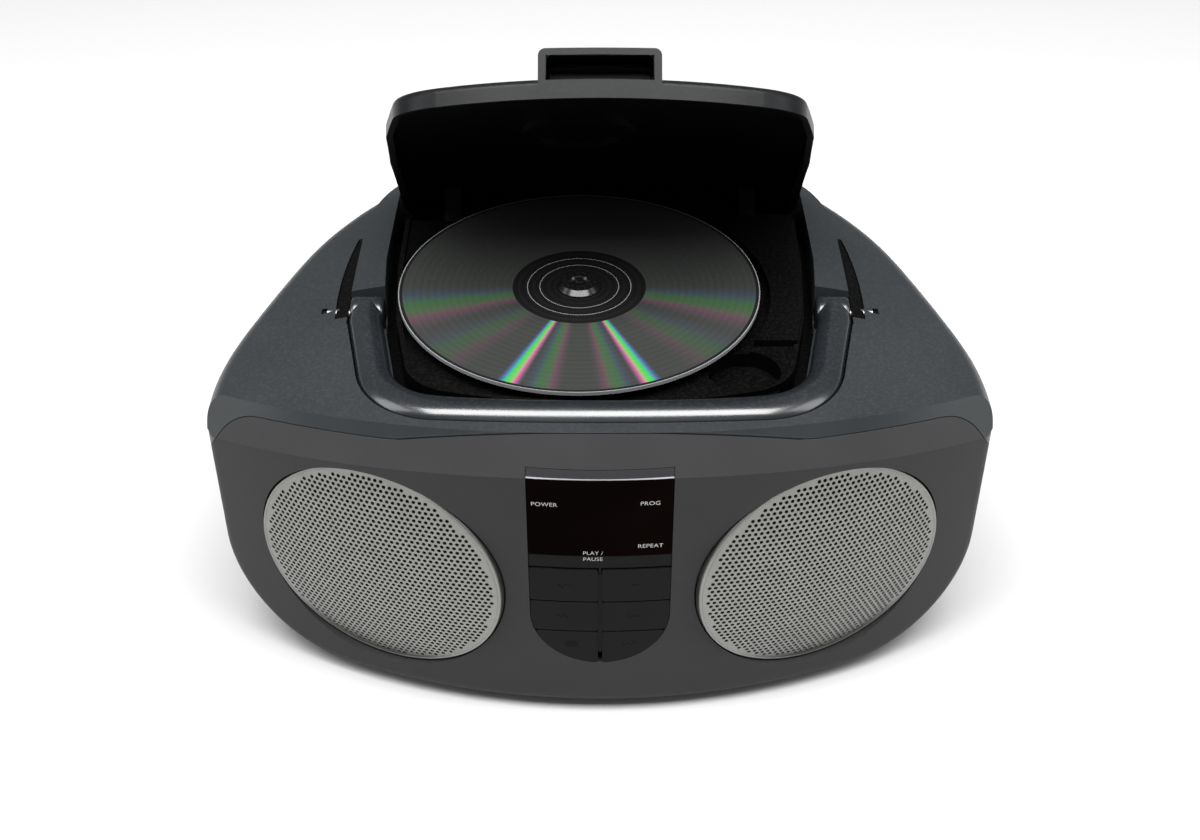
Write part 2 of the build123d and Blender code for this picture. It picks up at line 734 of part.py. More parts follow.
disc_under = disc_top - disc_thickness
with BuildPart() as spindle_hub:
    with BuildSketch(Plane.XZ.offset(-disc_y)):
        with BuildLine():
            Polyline((0, plate_top + 5), (1.5, plate_top + 5), (1.5, disc_under - 2.4),
                     (14, disc_under - 2.4),
                     (14, disc_under), (disc_bore - 0.1, disc_under), (disc_bore - 0.1, disc_top + 0.6),
                     (disc_bore - 1.6, disc_top + 2.0), (3.2, disc_top + 2.0), (2.6, disc_top + 1.2),
                     (1.8, disc_top + 1.2), (1.4, disc_top + 2.6), (0, disc_top + 2.8), (0, plate_top + 5))
        make_face()
    revolve(axis=Axis((0, disc_y, 0), (0, 0, 1)))
hub_part = Pos(disc_x, 0, 0) * spindle_hub.part
hub_part.label = "spindle_hub"
export_step(hub_part, "parts/spindle_hub.step")

with BuildPart() as spindle_motor:
    with BuildSketch(Plane.XY.offset(plate_top)):
        with Locations((disc_x, disc_y)):
            Circle(13)
    extrude(amount=8.5)
    with BuildSketch(Plane.XY.offset(plate_top + 8.5)):
        with Locations((disc_x, disc_y)):
            Circle(4)
    extrude(amount=1.5)
    with Locations((disc_x, disc_y, plate_top + 10)):
        Cylinder(1.55, 11, mode=Mode.SUBTRACT)
spindle_motor.part.label = "spindle_motor"
export_step(spindle_motor.part, "parts/spindle_motor.step")

# disc drive under the deck
screw_x = 20.0
sled_start_y = -29.5
sled_half = 6.0
drive_front_y = -62.0
drive_rear_y = -8.0
with BuildPart() as mechanism_chassis:
    with BuildSketch(Plane.XY.offset(plate_top - plate_thickness)):
        with Locations((-7, -13.5)):
            RectangleRounded(94, 97, 5)
        with Locations(*mount_spots):
            Circle(4.1, mode=Mode.SUBTRACT)
    extrude(amount=plate_thickness)
    with Locations((disc_x - rod_spread, drive_front_y + 0.8, plate_top + 5),
                   (disc_x + rod_spread, drive_front_y + 0.8, plate_top + 5),
                   (disc_x - rod_spread, drive_rear_y - 0.8, plate_top + 5),
                   (disc_x + rod_spread, drive_rear_y - 0.8, plate_top + 5),
                   (screw_x, drive_front_y + 0.8, plate_top + 5)):
        Box(6, 1.6, 10.5)
    with Locations(Location((disc_x - rod_spread, (drive_front_y + drive_rear_y) / 2, rod_z), (90, 0, 0)),
                   Location((disc_x + rod_spread, (drive_front_y + drive_rear_y) / 2, rod_z), (90, 0, 0))):
        Cylinder(1.5 + pin_seat, 60, mode=Mode.SUBTRACT)
    with Locations(Location((screw_x, drive_front_y, rod_z), (90, 0, 0))):
        Cylinder(1.05, 5, mode=Mode.SUBTRACT)
mechanism_chassis.part.label = "mechanism_chassis"
export_step(mechanism_chassis.part, "parts/mechanism_chassis.step")

with BuildPart() as guide_rods:
    with Locations(Location((disc_x - rod_spread, (drive_front_y + drive_rear_y) / 2, rod_z), (90, 0, 0)),
                   Location((disc_x + rod_spread, (drive_front_y + drive_rear_y) / 2, rod_z), (90, 0, 0))):
        Cylinder(1.5, drive_rear_y - drive_front_y)
guide_rods.part.label = "guide_rods"
export_step(guide_rods.part, "parts/guide_rods.step")

with BuildPart() as pickup_sled:
    with Locations(((disc_x + screw_x) / 2 - 6.5, sled_start_y, (plate_top + 1.5 + 107.5) / 2)):
        Box(screw_x - disc_x + 22, 2 * sled_half, 107.5 - plate_top - 1.5)
    with BuildSketch(Plane.XY.offset(107)):
        with Locations((disc_x, sled_start_y)):
            Circle(5)
    extrude(amount=5.0)
    with Locations(Location((disc_x - rod_spread, sled_start_y, rod_z), (90, 0, 0)),
                   Location((disc_x + rod_spread, sled_start_y, rod_z), (90, 0, 0))):
        Cylinder(1.5 + pin_fit, 40, mode=Mode.SUBTRACT)
    with Locations(Location((screw_x, sled_start_y, rod_z), (90, 0, 0))):
        Cylinder(2.5, 40, mode=Mode.SUBTRACT)
pickup_sled.part.label = "pickup_sled"
export_step(pickup_sled.part, "parts/pickup_sled.step")

with BuildPart() as pickup_lens:
    with BuildSketch(Plane.XZ.offset(-sled_start_y)):
        with BuildLine():
            Polyline((0, 112.9), (0, 112.0), (3, 112.0), (3, 112.4), (1.5, 112.8), (0, 112.9))
        make_face()
    revolve(axis=Axis((0, sled_start_y, 0), (0, 0, 1)))
lens_part = Pos(disc_x, 0, 0) * pickup_lens.part
lens_part.label = "pickup_lens"
export_step(lens_part, "parts/pickup_lens.step")

with BuildPart() as feed_motor:
    with Locations(Location((screw_x, 3, rod_z), (90, 0, 0))):
        Cylinder(6, 18)
    with Locations((screw_x, 3, plate_top + 1.2)):
        Box(8, 16, 2.4)
    with Locations(Location((screw_x, -3, rod_z), (90, 0, 0))):
        Cylinder(1.05, 12, mode=Mode.SUBTRACT)
feed_motor.part.label = "feed_motor"
export_step(feed_motor.part, "parts/feed_motor.step")

with BuildPart() as feed_screw:
    with Locations(Location((screw_x, -33.5, rod_z), (90, 0, 0))):
        Cylinder(2, 53)
    with Locations(Location((screw_x, -33, rod_z), (90, 0, 0))):
        Cylinder(1, 57)
feed_screw.part.label = "feed_screw"
export_step(feed_screw.part, "parts/feed_screw.step")

with BuildPart() as rubber_mounts:
    with BuildSketch(Plane.XY.offset(plate_top + 0.1)):
        with Locations(*mount_spots):
            Circle(5.5)
    extrude(amount=2.9)
    with BuildSketch(Plane.XY.offset(plate_top - plate_thickness - 0.1)):
        with Locations(*mount_spots):
            Circle(4)
    extrude(amount=plate_thickness + 0.3)
    with BuildSketch(Plane.XY.offset(plate_top - plate_thickness - 3)):
        with Locations(*mount_spots):
            Circle(5.5)
    extrude(amount=2.9)
    with BuildSketch(Plane.XY.offset(plate_top - 10)):
        with Locations(*mount_spots):
            Circle(2.1)
    extrude(amount=20, mode=Mode.SUBTRACT)
rubber_mounts.part.label = "rubber_mounts"
export_step(rubber_mounts.part, "parts/rubber_mounts.step")

# display window of the control panel, its top following the light band
with BuildPart() as display_lens:
    add(outer & from_face(panel_outline(lens_bottom, lens_top)))
    add(inner_block(2.2), mode=Mode.SUBTRACT)
    with Locations((0, 0, 0)):
        Box(200, 150, 400, mode=Mode.SUBTRACT)
display_lens.part.label = "display_lens"
export_step(display_lens.part, "parts/display_lens.step")

frame_inset = 3.8
frame_thickness = 2.0
key_depth = 9.0
stem_width = 11.0
stem_height = 5.0
stem_end = 7.3
key_x = 9.2
key_rows = [(row_lines[0] + row_lines[1]) / 2, (row_lines[1] + row_lines[2]) / 2,
            (row_lines[2] + row_lines[3]) / 2 + 2.5]

with BuildSketch() as rib:
    with Locations((0, (level(row_lines[0]) + level(row_lines[3])) / 2 + 2)):
        Rectangle(divider - 0.5, level(row_lines[0]) - level(row_lines[3]) - 4)
with BuildSketch() as holes:
    with Locations((0, (level(76) + level(98.5)) / 2)):
        Rectangle(38.6, level(98.5) - level(76))
    for z in key_rows:
        with Locations((-key_x, level(z)), (key_x, level(z))):
            Rectangle(stem_width + 1, stem_height + 1)

# carrier of the buttons with the plain strip under the display
with BuildPart() as control_frame:
    frame_plate = from_face(panel_outline(row_lines[3] - 3, 99, 2.0))
    add(frame_plate & (front_round(frame_inset) - front_round(frame_inset + frame_thickness)))
    rim_plate = frame_plate - from_face(panel_outline(row_lines[3] - 1, 110, 0.6))
    add(rim_plate & (front_round(wall + seat_gap) - front_round(frame_inset + 0.5)))
    add(from_face(panel_outline(strip_bottom + key_gap, lens_bottom - 0.1))
        & (front_round(0.3) - front_round(frame_inset + 0.5)))
    add(from_face(rib.sketch) & (front_round(0.9) - front_round(frame_inset + 0.5)))
    add(from_face(holes.sketch) - front_round(frame_inset - 0.5)
        + (from_face(holes.sketch) & front_round(frame_inset - 0.3)), mode=Mode.SUBTRACT)
    with BuildSketch(face_plane.offset(-key_depth)):
        with Locations((0, level(row_lines[2])), (0, level(row_lines[1] + 4))):
            Circle(1.6)
    extrude(amount=key_depth - frame_inset - 1)
control_frame.part.label = "control_frame"
export_step(control_frame.part, "parts/control_frame.step")


def key(side_sign, row):
    """one function button: curved cap and its stem"""
    high = row_lines[row] - key_gap / 2
    low = row_lines[row + 1] + (key_gap / 2 if row < 2 else 0)
    with BuildSketch() as cap:
        add(panel_outline(low, high))
        with Locations((side_sign * (50 + divider / 2), level(50))):
            Rectangle(100, 200, mode=Mode.INTERSECT)
        fillet(cap.vertices(), 0.7)
    with BuildPart() as button:
        add(from_face(cap.sketch) & (front_round(0) - front_round(key_thickness)))
        with BuildSketch(face_plane):
            with Locations((side_sign * key_x, level(key_rows[row]))):
                Rectangle(stem_width, stem_height)
        stem = extrude(amount=-20, mode=Mode.PRIVATE)
        add(stem & (front_round(key_thickness - 0.5) - front_round(stem_end)))
    return button.part


key_names = [("play_button", -1, 0), ("stop_button", 1, 0), ("skip_button", -1, 1),
             ("search_button", 1, 1), ("program_button", -1, 2), ("bass_button", 1, 2)]
for name, side_sign, row in key_names:
    item = key(side_sign, row)
    item.label = name
    export_step(item, "parts/" + name + ".step")

with BuildPart() as key_board:
    with BuildSketch(face_plane.offset(-key_depth)):
        with Locations((0, (level(27) + level(71)) / 2)):
            Rectangle(40, level(71) - level(27))
    extrude(amount=-1.6)
    with BuildSketch(face_plane.offset(-key_depth)):
        for z in key_rows:
            with Locations((-key_x, level(z)), (key_x, level(z))):
                Rectangle(5, 4)
    extrude(amount=0.3)
key_board.part.label = "key_board"
export_step(key_board.part, "parts/key_board.step")

with BuildPart() as display_module:
    with BuildSketch(face_plane.offset(-3.6)):
        with Locations((0, (level(76.5) + level(98)) / 2)):
            RectangleRounded(37.6, level(98) - level(76.5), 1)
    extrude(amount=-6)
display_module.part.label = "display_module"
export_step(display_module.part, "parts/display_module.step")


def turned(side_sign, points):
    with BuildPart() as ring:
        with BuildSketch(Plane.XZ):
            with BuildLine():
                Polyline(*points, points[0])
            make_face()
        revolve(axis=Axis.Z)
    return speaker_plane(side_sign).location * ring.part


driver_profile = [(0, -24), (14, -24), (32, -11), (32, -9.2), (39, -9.2), (39, -10.8), (35.5, -10.8),
                  (20, -27), (22, -27), (22, -38), (0, -38)]
cone_profile = [(0, -19.4), (8, -20.6), (29, -10.4), (31.7, -10.0), (31.7, -10.6), (29, -11.1),
                (8, -21.5), (0, -20.3)]
driver_room = {}
for side_name, side_sign in (("left", -1), ("right", 1)):
    driver_room[side_sign] = turned(side_sign, [(0, -20), (24, -20), (24, -40), (0, -40)])
    driver = turned(side_sign, driver_profile)
    driver.label = side_name + "_driver"
    export_step(driver, "parts/" + side_name + "_driver.step")
    cone = turned(side_sign, cone_profile)
    cone.label = side_name + "_cone"
    export_step(cone, "parts/" + side_name + "_cone.step")

# boards and transformer
with BuildPart() as main_board:
    with BuildSketch(Plane.XY.offset(board_z)):
        with Locations((0, 8)):
            Rectangle(200, 94)
        with Locations((0, wheel_y)):
            Rectangle(228, 22)
    extrude(amount=board_thickness)
    add(inner_block(wall + 1.5), mode=Mode.INTERSECT)
    for side_sign in (-1, 1):
        add(driver_room[side_sign], mode=Mode.SUBTRACT)
main_board.part.label = "main_board"
export_step(main_board.part, "parts/main_board.step")

with BuildPart() as transformer:
    with Locations((-40, 8, foot_height + wall + 15)):
        Box(42, 34, 30)
        Box(26, 46, 20)
transformer.part.label = "transformer"
export_step(transformer.part, "parts/transformer.step")

# mains inlet and headphone socket in the rear wall
with BuildPart() as mains_inlet:
    with Locations((inlet_x, 86, inlet_z)):
        Box(22, 12, 11)
    with Locations((inlet_x, 87.3, inlet_z)):
        Box(26, 2.4, 12.4)
    with BuildSketch(Plane.XZ.offset(-83.5)):
        with Locations((inlet_x - 4.3, inlet_z), (inlet_x + 4.3, inlet_z)):
            Circle(4)
        with Locations((inlet_x, inlet_z)):
            Rectangle(8.6, 6.4)
    extrude(amount=-20, mode=Mode.SUBTRACT)
    with BuildSketch(Plane.XZ.offset(-83)):
        with Locations((inlet_x - 4.3, inlet_z), (inlet_x + 4.3, inlet_z)):
            Circle(1.2)
    extrude(amount=-7)
mains_inlet.part.label = "mains_inlet"
export_step(mains_inlet.part, "parts/mains_inlet.step")

with BuildPart() as headphone_jack:
    with Locations(Location((jack_x, 87, jack_z), (90, 0, 0))):
        Cylinder(4, 13)
    with Locations((jack_x, 83, jack_z)):
        Box(11, 9, 11)
    with Locations(Location((jack_x, 87, jack_z), (90, 0, 0))):
        Cylinder(jack_radius, 30, mode=Mode.SUBTRACT)
headphone_jack.part.label = "headphone_jack"
export_step(headphone_jack.part, "parts/headphone_jack.step")

# battery bay
with BuildPart() as battery_door:
    with Locations((0, door_pivot_y, (door_low + door_high) / 2 + door_thickness / 4)):
        Box(2 * door_half, door_thickness, door_high - door_low - door_thickness / 2)
    with Locations(Location((0, door_pivot_y, door_pivot_z), (0, 90, 0))):
        Cylinder(door_thickness / 2, 2 * door_half)
        Cylinder(1.0, 2 * door_half + 3)
    with Locations((0, door_y + 0.7, door_high - 4)):
        Box(18, 1.4, 3)
battery_door.part.label = "battery_door"
export_step(battery_door.part, "parts/battery_door.step")

with BuildPart() as battery_contacts:
    with Locations((-bay_half + 0.25, 72.5, 35), (bay_half - 0.25, 72.5, 22), (bay_half - 0.25, 72.5, 48)):
        Box(0.5, 18, 20)
battery_contacts.part.label = "battery_contacts"
export_step(battery_contacts.part, "parts/battery_contacts.step")

with BuildPart() as battery_springs:
    for z in (22, 48):
        with BuildSketch(Plane.XY.offset(z)):
            with BuildLine():
                Polyline((-bay_half + 0.5, 65), (-bay_half + 1.0, 65), (-bay_half + 4, 72.5),
                         (-bay_half + 1.0, 80), (-bay_half + 0.5, 80), (-bay_half + 3.4, 72.5),
                         (-bay_half + 0.5, 65))
            make_face()
        extrude(amount=4, both=True)
battery_springs.part.label = "battery_springs"
export_step(battery_springs.part, "parts/battery_springs.step")

with BuildPart() as feet:
    with BuildSketch():
        with Locations(*foot_spots):
            Circle(7)
    extrude(amount=foot_height)
    chamfer(feet.edges().group_by(Axis.Z)[0], 0.8)
feet.part.label = "feet"
export_step(feet.part, "parts/feet.step")

with BuildPart() as case_screws:
    with BuildSketch(Plane.XY.offset(foot_height + 0.3)):
        with Locations(*screw_spots):
            Circle(3)
    extrude(amount=1.7)
    with BuildSketch(Plane.XY.offset(foot_height + 2)):
        with Locations(*screw_spots):
            Circle(1.5)
    extrude(amount=15)
    with BuildSketch(Plane.XY.offset(foot_height + 0.3)):
        with Locations(*screw_spots):
            Rectangle(3.6, 0.8)
            Rectangle(0.8, 3.6)
    extrude(amount=1.0, mode=Mode.SUBTRACT)
case_screws.part.label = "case_screws"
export_step(case_screws.part, "parts/case_screws.step")

# telescopic antenna lying in the rear notch
mast_radius = 3.0
middle_radius = 2.2
tip_radius = 1.2
tube_fit = 0.05
with BuildPart() as antenna_knuckle:
    with Locations(Location((antenna_x, antenna_y - 0.2, antenna_z), (90, 0, 0))):
        Cylinder(3.6, 6.4)
    with Locations((antenna_x - 3.5, antenna_y, antenna_z)):
        Box(4, 5, 5)
    with Locations(Location((antenna_x, antenna_y, antenna_z), (90, 0, 0))):
        Cylinder(1.5 + pin_fit, 20, mode=Mode.SUBTRACT)
antenna_knuckle.part.label = "antenna_knuckle"
export_step(antenna_knuckle.part, "parts/antenna_knuckle.step")


def rod(start, end, radius, bore=0.0, closed=3.0):
    """a round length along x, hollow from its free end when a bore is given"""
    with BuildPart() as bar:
        with Locations(Location(((start + end) / 2, antenna_y, antenna_z), (0, 90, 0))):
            Cylinder(radius, start - end)
        if bore:
            with Locations(Location(((start - closed + end) / 2 - 1, antenna_y, antenna_z), (0, 90, 0))):
                Cylinder(bore, start - closed - end + 2, mode=Mode.SUBTRACT)
    return bar.part


mast_start = antenna_x - 5.5
mast_end = -46.0
antenna_mast = rod(mast_start, mast_end, mast_radius, middle_radius + tube_fit)
antenna_middle = rod(mast_start - 3.5, mast_end, middle_radius, tip_radius + tube_fit)
antenna_tip = (rod(mast_start - 7, mast_end - 0.3, tip_radius)
               + rod(mast_end - 0.3, mast_end - 4.5, mast_radius))
for name, item in (("antenna_mast", antenna_mast), ("antenna_middle", antenna_middle),
                   ("antenna_tip", antenna_tip)):
    item.label = name
    export_step(item, "parts/" + name + ".step")


# side controls
def knob_wheel(side_sign):
    with BuildPart() as wheel:
        with BuildSketch(Plane.XY.offset(wheel_low)):
            with Locations((side_sign * wheel_x, wheel_y)):
                Circle(wheel_radius)
        extrude(amount=wheel_height)
        chamfer(wheel.edges(), 0.5)
        with BuildSketch(Plane.XY.offset(board_z + board_thickness + 0.6)):
            with Locations((side_sign * wheel_x, wheel_y)):
                Circle(2)
        extrude(amount=wheel_low - board_z - board_thickness)
    return wheel.part


def wheel_base(side_sign, square):
    with BuildPart() as base:
        with BuildSketch(Plane.XY.offset(board_z + board_thickness)):
            with Locations((side_sign * wheel_x, wheel_y)):
                if square:
                    RectangleRounded(11.5, 14, 1)
                else:
                    Circle(6)
        extrude(amount=5.8)
        with Locations((side_sign * wheel_x, wheel_y, board_z + board_thickness + 6)):
            Cylinder(2 + pin_fit, 11, mode=Mode.SUBTRACT)
    return base.part


def slide_knob(side_sign):
    with BuildPart() as slider:
        with Locations((side_sign * 116.4, switch_y, switch_z)):
            Box(1.2, 8, 14)
        with Locations((side_sign * 120.2, switch_y, switch_z)):
            Box(7.6, 4.8, 6)
    return slider.part


for name, item in (("volume_wheel", knob_wheel(-1)), ("tuning_wheel", knob_wheel(1)),
                   ("volume_pot", wheel_base(-1, False)), ("tuning_capacitor", wheel_base(1, True)),
                   ("function_switch", slide_knob(-1)), ("band_switch", slide_knob(1))):
    item.label = name
    export_step(item, "parts/" + name + ".step")
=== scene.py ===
import json
import math

import bmesh
import bpy
from mathutils import Matrix, Vector
from mathutils.bvhtree import BVHTree


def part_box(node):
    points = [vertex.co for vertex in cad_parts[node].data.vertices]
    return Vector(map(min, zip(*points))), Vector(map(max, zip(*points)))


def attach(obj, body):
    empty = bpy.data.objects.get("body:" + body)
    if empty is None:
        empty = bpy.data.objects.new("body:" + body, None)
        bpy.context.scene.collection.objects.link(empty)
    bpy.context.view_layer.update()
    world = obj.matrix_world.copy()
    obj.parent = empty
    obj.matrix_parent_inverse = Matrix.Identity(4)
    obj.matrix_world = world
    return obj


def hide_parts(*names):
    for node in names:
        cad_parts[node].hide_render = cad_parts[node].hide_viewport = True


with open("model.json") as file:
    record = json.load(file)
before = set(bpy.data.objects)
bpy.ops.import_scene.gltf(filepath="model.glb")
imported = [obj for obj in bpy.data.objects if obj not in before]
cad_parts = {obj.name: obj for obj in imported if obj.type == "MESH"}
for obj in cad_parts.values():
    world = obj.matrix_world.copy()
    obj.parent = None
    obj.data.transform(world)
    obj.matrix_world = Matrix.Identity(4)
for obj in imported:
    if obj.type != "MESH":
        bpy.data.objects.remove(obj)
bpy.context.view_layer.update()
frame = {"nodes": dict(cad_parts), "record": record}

mm = 0.001
farOff = 0.2  # metres, outside the part on every side of the handle and the slots
down = Vector((0.0, 0.0, -1.0))
print("boombox frame loaded:", len(frame["nodes"]), "nodes")

# studio: camera at the photograph's angle, pale floor, soft light

studio = {
    "cameraPlace": (0.0, -0.510, 0.4417),
    "cameraPitch": 52.98,
    "lens": 54.0,
    "sensor": 36.0,
    "floorSize": 9.0,
    "floorGrey": 0.50,
    "floorRoughness": 0.9,
    "airStrength": 0.15,
}

softBoxes = [  # name, place, aim, width, depth, watts
    ("overheadBox", (0.0, -0.32, 1.30), (0.0, 0.0, 0.08), 1.6, 0.8, 52.0),
    ("frontBox", (0.0, -1.35, 0.90), (0.0, -0.05, 0.06), 1.6, 0.5, 1.0),
    ("leftBox", (-1.2, -0.15, 0.60), (0.0, 0.0, 0.07), 0.6, 1.0, 6.0),
    ("rightBox", (1.2, -0.15, 0.60), (0.0, 0.0, 0.07), 0.6, 1.0, 6.0),
]


def addObject(name, data):
    thing = bpy.data.objects.new(name, data)
    bpy.context.scene.collection.objects.link(thing)
    return thing


def addCamera():
    data = bpy.data.cameras.new("photoCamera")
    data.lens = studio["lens"]
    data.sensor_width = studio["sensor"]
    data.sensor_fit = "HORIZONTAL"
    camera = addObject("photoCamera", data)
    camera.location = studio["cameraPlace"]
    camera.rotation_euler = (math.radians(studio["cameraPitch"]), 0.0, 0.0)
    bpy.context.scene.camera = camera


def addSoftBoxes():
    for name, place, aim, width, depth, watts in softBoxes:
        data = bpy.data.lights.new(name, "AREA")
        data.shape = "RECTANGLE"
        data.size = width
        data.size_y = depth
        data.energy = watts
        light = addObject(name, data)
        light.location = place
        light.rotation_euler = (Vector(aim) - Vector(place)).to_track_quat("-Z", "Y").to_euler()


def addAir():
    world = bpy.data.worlds.new("studioAir")
    bpy.context.scene.world = world
    world.use_nodes = True
    background = world.node_tree.nodes["Background"]
    background.inputs["Color"].default_value = (1.0, 1.0, 1.0, 1.0)
    background.inputs["Strength"].default_value = studio["airStrength"]


bpy.context.scene.view_settings.view_transform = "Standard"
addCamera()
addSoftBoxes()
addAir()
print("camera and lights placed")

# node helpers: a value may be a number, a colour or the output of another node


def addNode(tree, kind, place, values=None, **settings):
    node = tree.nodes.new(kind)
    node.location = place
    for key, value in settings.items():
        setattr(node, key, value)
    for key, value in (values or {}).items():
        if isinstance(value, bpy.types.NodeSocket):
            tree.links.new(value, node.inputs[key])
        else:
            node.inputs[key].default_value = value
    return node


def reckon(tree, operation, place, *terms, clamped=False):
    node = addNode(tree, "ShaderNodeMath", place, dict(enumerate(terms)), operation=operation,
                   use_clamp=clamped)
    return node.outputs[0]


def mixColours(tree, place, first, second, share):
    node = addNode(tree, "ShaderNodeMix", place, {"A": first, "B": second, "Factor": share},
                   data_type="RGBA")
    return node.outputs["Result"]


def addNoise(tree, place, vector, scale, detail, roughness=0.5):
    node = addNode(tree, "ShaderNodeTexNoise", place,
                   {"Vector": vector, "Scale": scale, "Detail": detail, "Roughness": roughness})
    return node.outputs["Fac"]


def addRamp(tree, place, source, blackTo, whiteFrom):
    ramp = addNode(tree, "ShaderNodeValToRGB", place, {"Fac": source})
    ramp.color_ramp.elements[0].position = blackTo
    ramp.color_ramp.elements[1].position = whiteFrom
    return ramp.outputs["Color"]


def makeGroup(name, inputs, outputs):
    tree = bpy.data.node_groups.new(name, "ShaderNodeTree")
    for title, kind, value in inputs:
        socket = tree.interface.new_socket(name=title, in_out="INPUT", socket_type=kind)
        if value is not None:
            socket.default_value = value
    for title, kind in outputs:
        tree.interface.new_socket(name=title, in_out="OUTPUT", socket_type=kind)
    start = addNode(tree, "NodeGroupInput", (-900, 0))
    end = addNode(tree, "NodeGroupOutput", (700, 0))
    return tree, start, end


def makeMaskGroup(name, amount):
    return makeGroup(
        name,
        [("Vector", "NodeSocketVector", None), ("Amount", "NodeSocketFloat", amount)],
        [("Mask", "NodeSocketFloat")])


def endMask(tree, start, end, first, second):  # both masks meet, and the group's Amount scales them
    meet = reckon(tree, "MULTIPLY", (60, 0), first, second)
    scaled = reckon(tree, "MULTIPLY", (280, 0), meet, start.outputs["Amount"])
    tree.links.new(scaled, end.inputs["Mask"])


def placeGroup(tree, group, place, values):
    return addNode(tree, "ShaderNodeGroup", place, values, node_tree=group)


def pour(red, green, blue):  # display levels 0 to 255, as the linear colour that shows as them
    def linear(level):
        part = level / 255.0
        return part / 12.92 if part <= 0.04045 else ((part + 0.055) / 1.055) ** 2.4
    return (linear(red), linear(green), linear(blue), 1.0)


# shared effects

grainLook = {
    "fineDetail": 3.0,
    "fineRoughness": 0.6,
    "fineShare": 0.6,
    "cloudScale": 34.0,
    "cloudDetail": 2.0,
}


def buildMouldGrain():
    look = grainLook
    tree, start, end = makeGroup(
        "mouldGrain",
        [("Vector", "NodeSocketVector", None), ("Grain Size", "NodeSocketFloat", 0.0006)],
        [("Height", "NodeSocketFloat"), ("Cloud", "NodeSocketFloat")])
    spot = start.outputs["Vector"]
    scale = reckon(tree, "DIVIDE", (-700, -200), 1.0, start.outputs["Grain Size"])
    fine = addNoise(tree, (-450, 100), spot, scale, look["fineDetail"], look["fineRoughness"])
    pits = addNode(tree, "ShaderNodeTexVoronoi", (-450, -200), {"Vector": spot, "Scale": scale})
    both = reckon(tree, "MULTIPLY_ADD", (-150, 0), fine, look["fineShare"], pits.outputs["Distance"])
    cloud = addNoise(tree, (-450, -500), spot, look["cloudScale"], look["cloudDetail"])
    tree.links.new(both, end.inputs["Height"])
    tree.links.new(cloud, end.inputs["Cloud"])
    return tree


marksLook = {
    "turn": (0.3, 0.2, 0.5),
    "stretch": (1.0, 14.0, 5.0),
    "lines": (60.0, 4.0),  # noise scale, detail
    "lineRamp": (0.62, 0.72),
    "patches": (12.0, 1.0),
    "patchRamp": (0.5, 0.68),
}


def buildHandlingMarks():
    look = marksLook
    tree, start, end = makeMaskGroup("handlingMarks", 0.5)
    spot = start.outputs["Vector"]
    drawn = addNode(tree, "ShaderNodeMapping", (-700, 0),
                    {"Vector": spot, "Rotation": look["turn"], "Scale": look["stretch"]})
    lines = addNoise(tree, (-480, 0), drawn.outputs["Vector"], *look["lines"])
    patches = addNoise(tree, (-480, -300), spot, *look["patches"])
    endMask(tree, start, end, addRamp(tree, (-260, 0), lines, *look["lineRamp"]),
            addRamp(tree, (-260, -300), patches, *look["patchRamp"]))
    return tree


dustLook = {
    "upwardPower": 3.0,
    "specks": (900.0, 2.0),  # noise scale, detail
    "speckRamp": (0.45, 0.75),
}


def buildSettledDust():
    look = dustLook
    tree, start, end = makeMaskGroup("settledDust", 0.1)
    geometry = addNode(tree, "ShaderNodeNewGeometry", (-700, -200))
    split = addNode(tree, "ShaderNodeSeparateXYZ", (-480, -200), {0: geometry.outputs["Normal"]})
    upward = reckon(tree, "POWER", (-260, -200), split.outputs["Z"], look["upwardPower"], clamped=True)
    specks = addNoise(tree, (-480, 200), start.outputs["Vector"], *look["specks"])
    endMask(tree, start, end, addRamp(tree, (-260, 200), specks, *look["speckRamp"]), upward)
    return tree


mouldGrain = buildMouldGrain()
handlingMarks = buildHandlingMarks()
settledDust = buildSettledDust()
print("grain, marks and dust built")

# what every material shares


def startMaterial(name):
    material = bpy.data.materials.new(name)
    material.use_nodes = True
    tree = material.node_tree
    where = addNode(tree, "ShaderNodeTexCoord", (-1300, 0))
    return material, tree, tree.nodes["Principled BSDF"], where


def addRoughness(tree, shader, source, gain, base):
    rough = reckon(tree, "MULTIPLY_ADD", (-300, -60), source, gain, base)
    tree.links.new(rough, shader.inputs["Roughness"])


def addRelief(tree, shader, height, strength, distance):
    bump = addNode(tree, "ShaderNodeBump", (-300, -320),
                   {"Height": height, "Strength": strength, "Distance": distance})
    tree.links.new(bump.outputs["Normal"], shader.inputs["Normal"])


# plastics

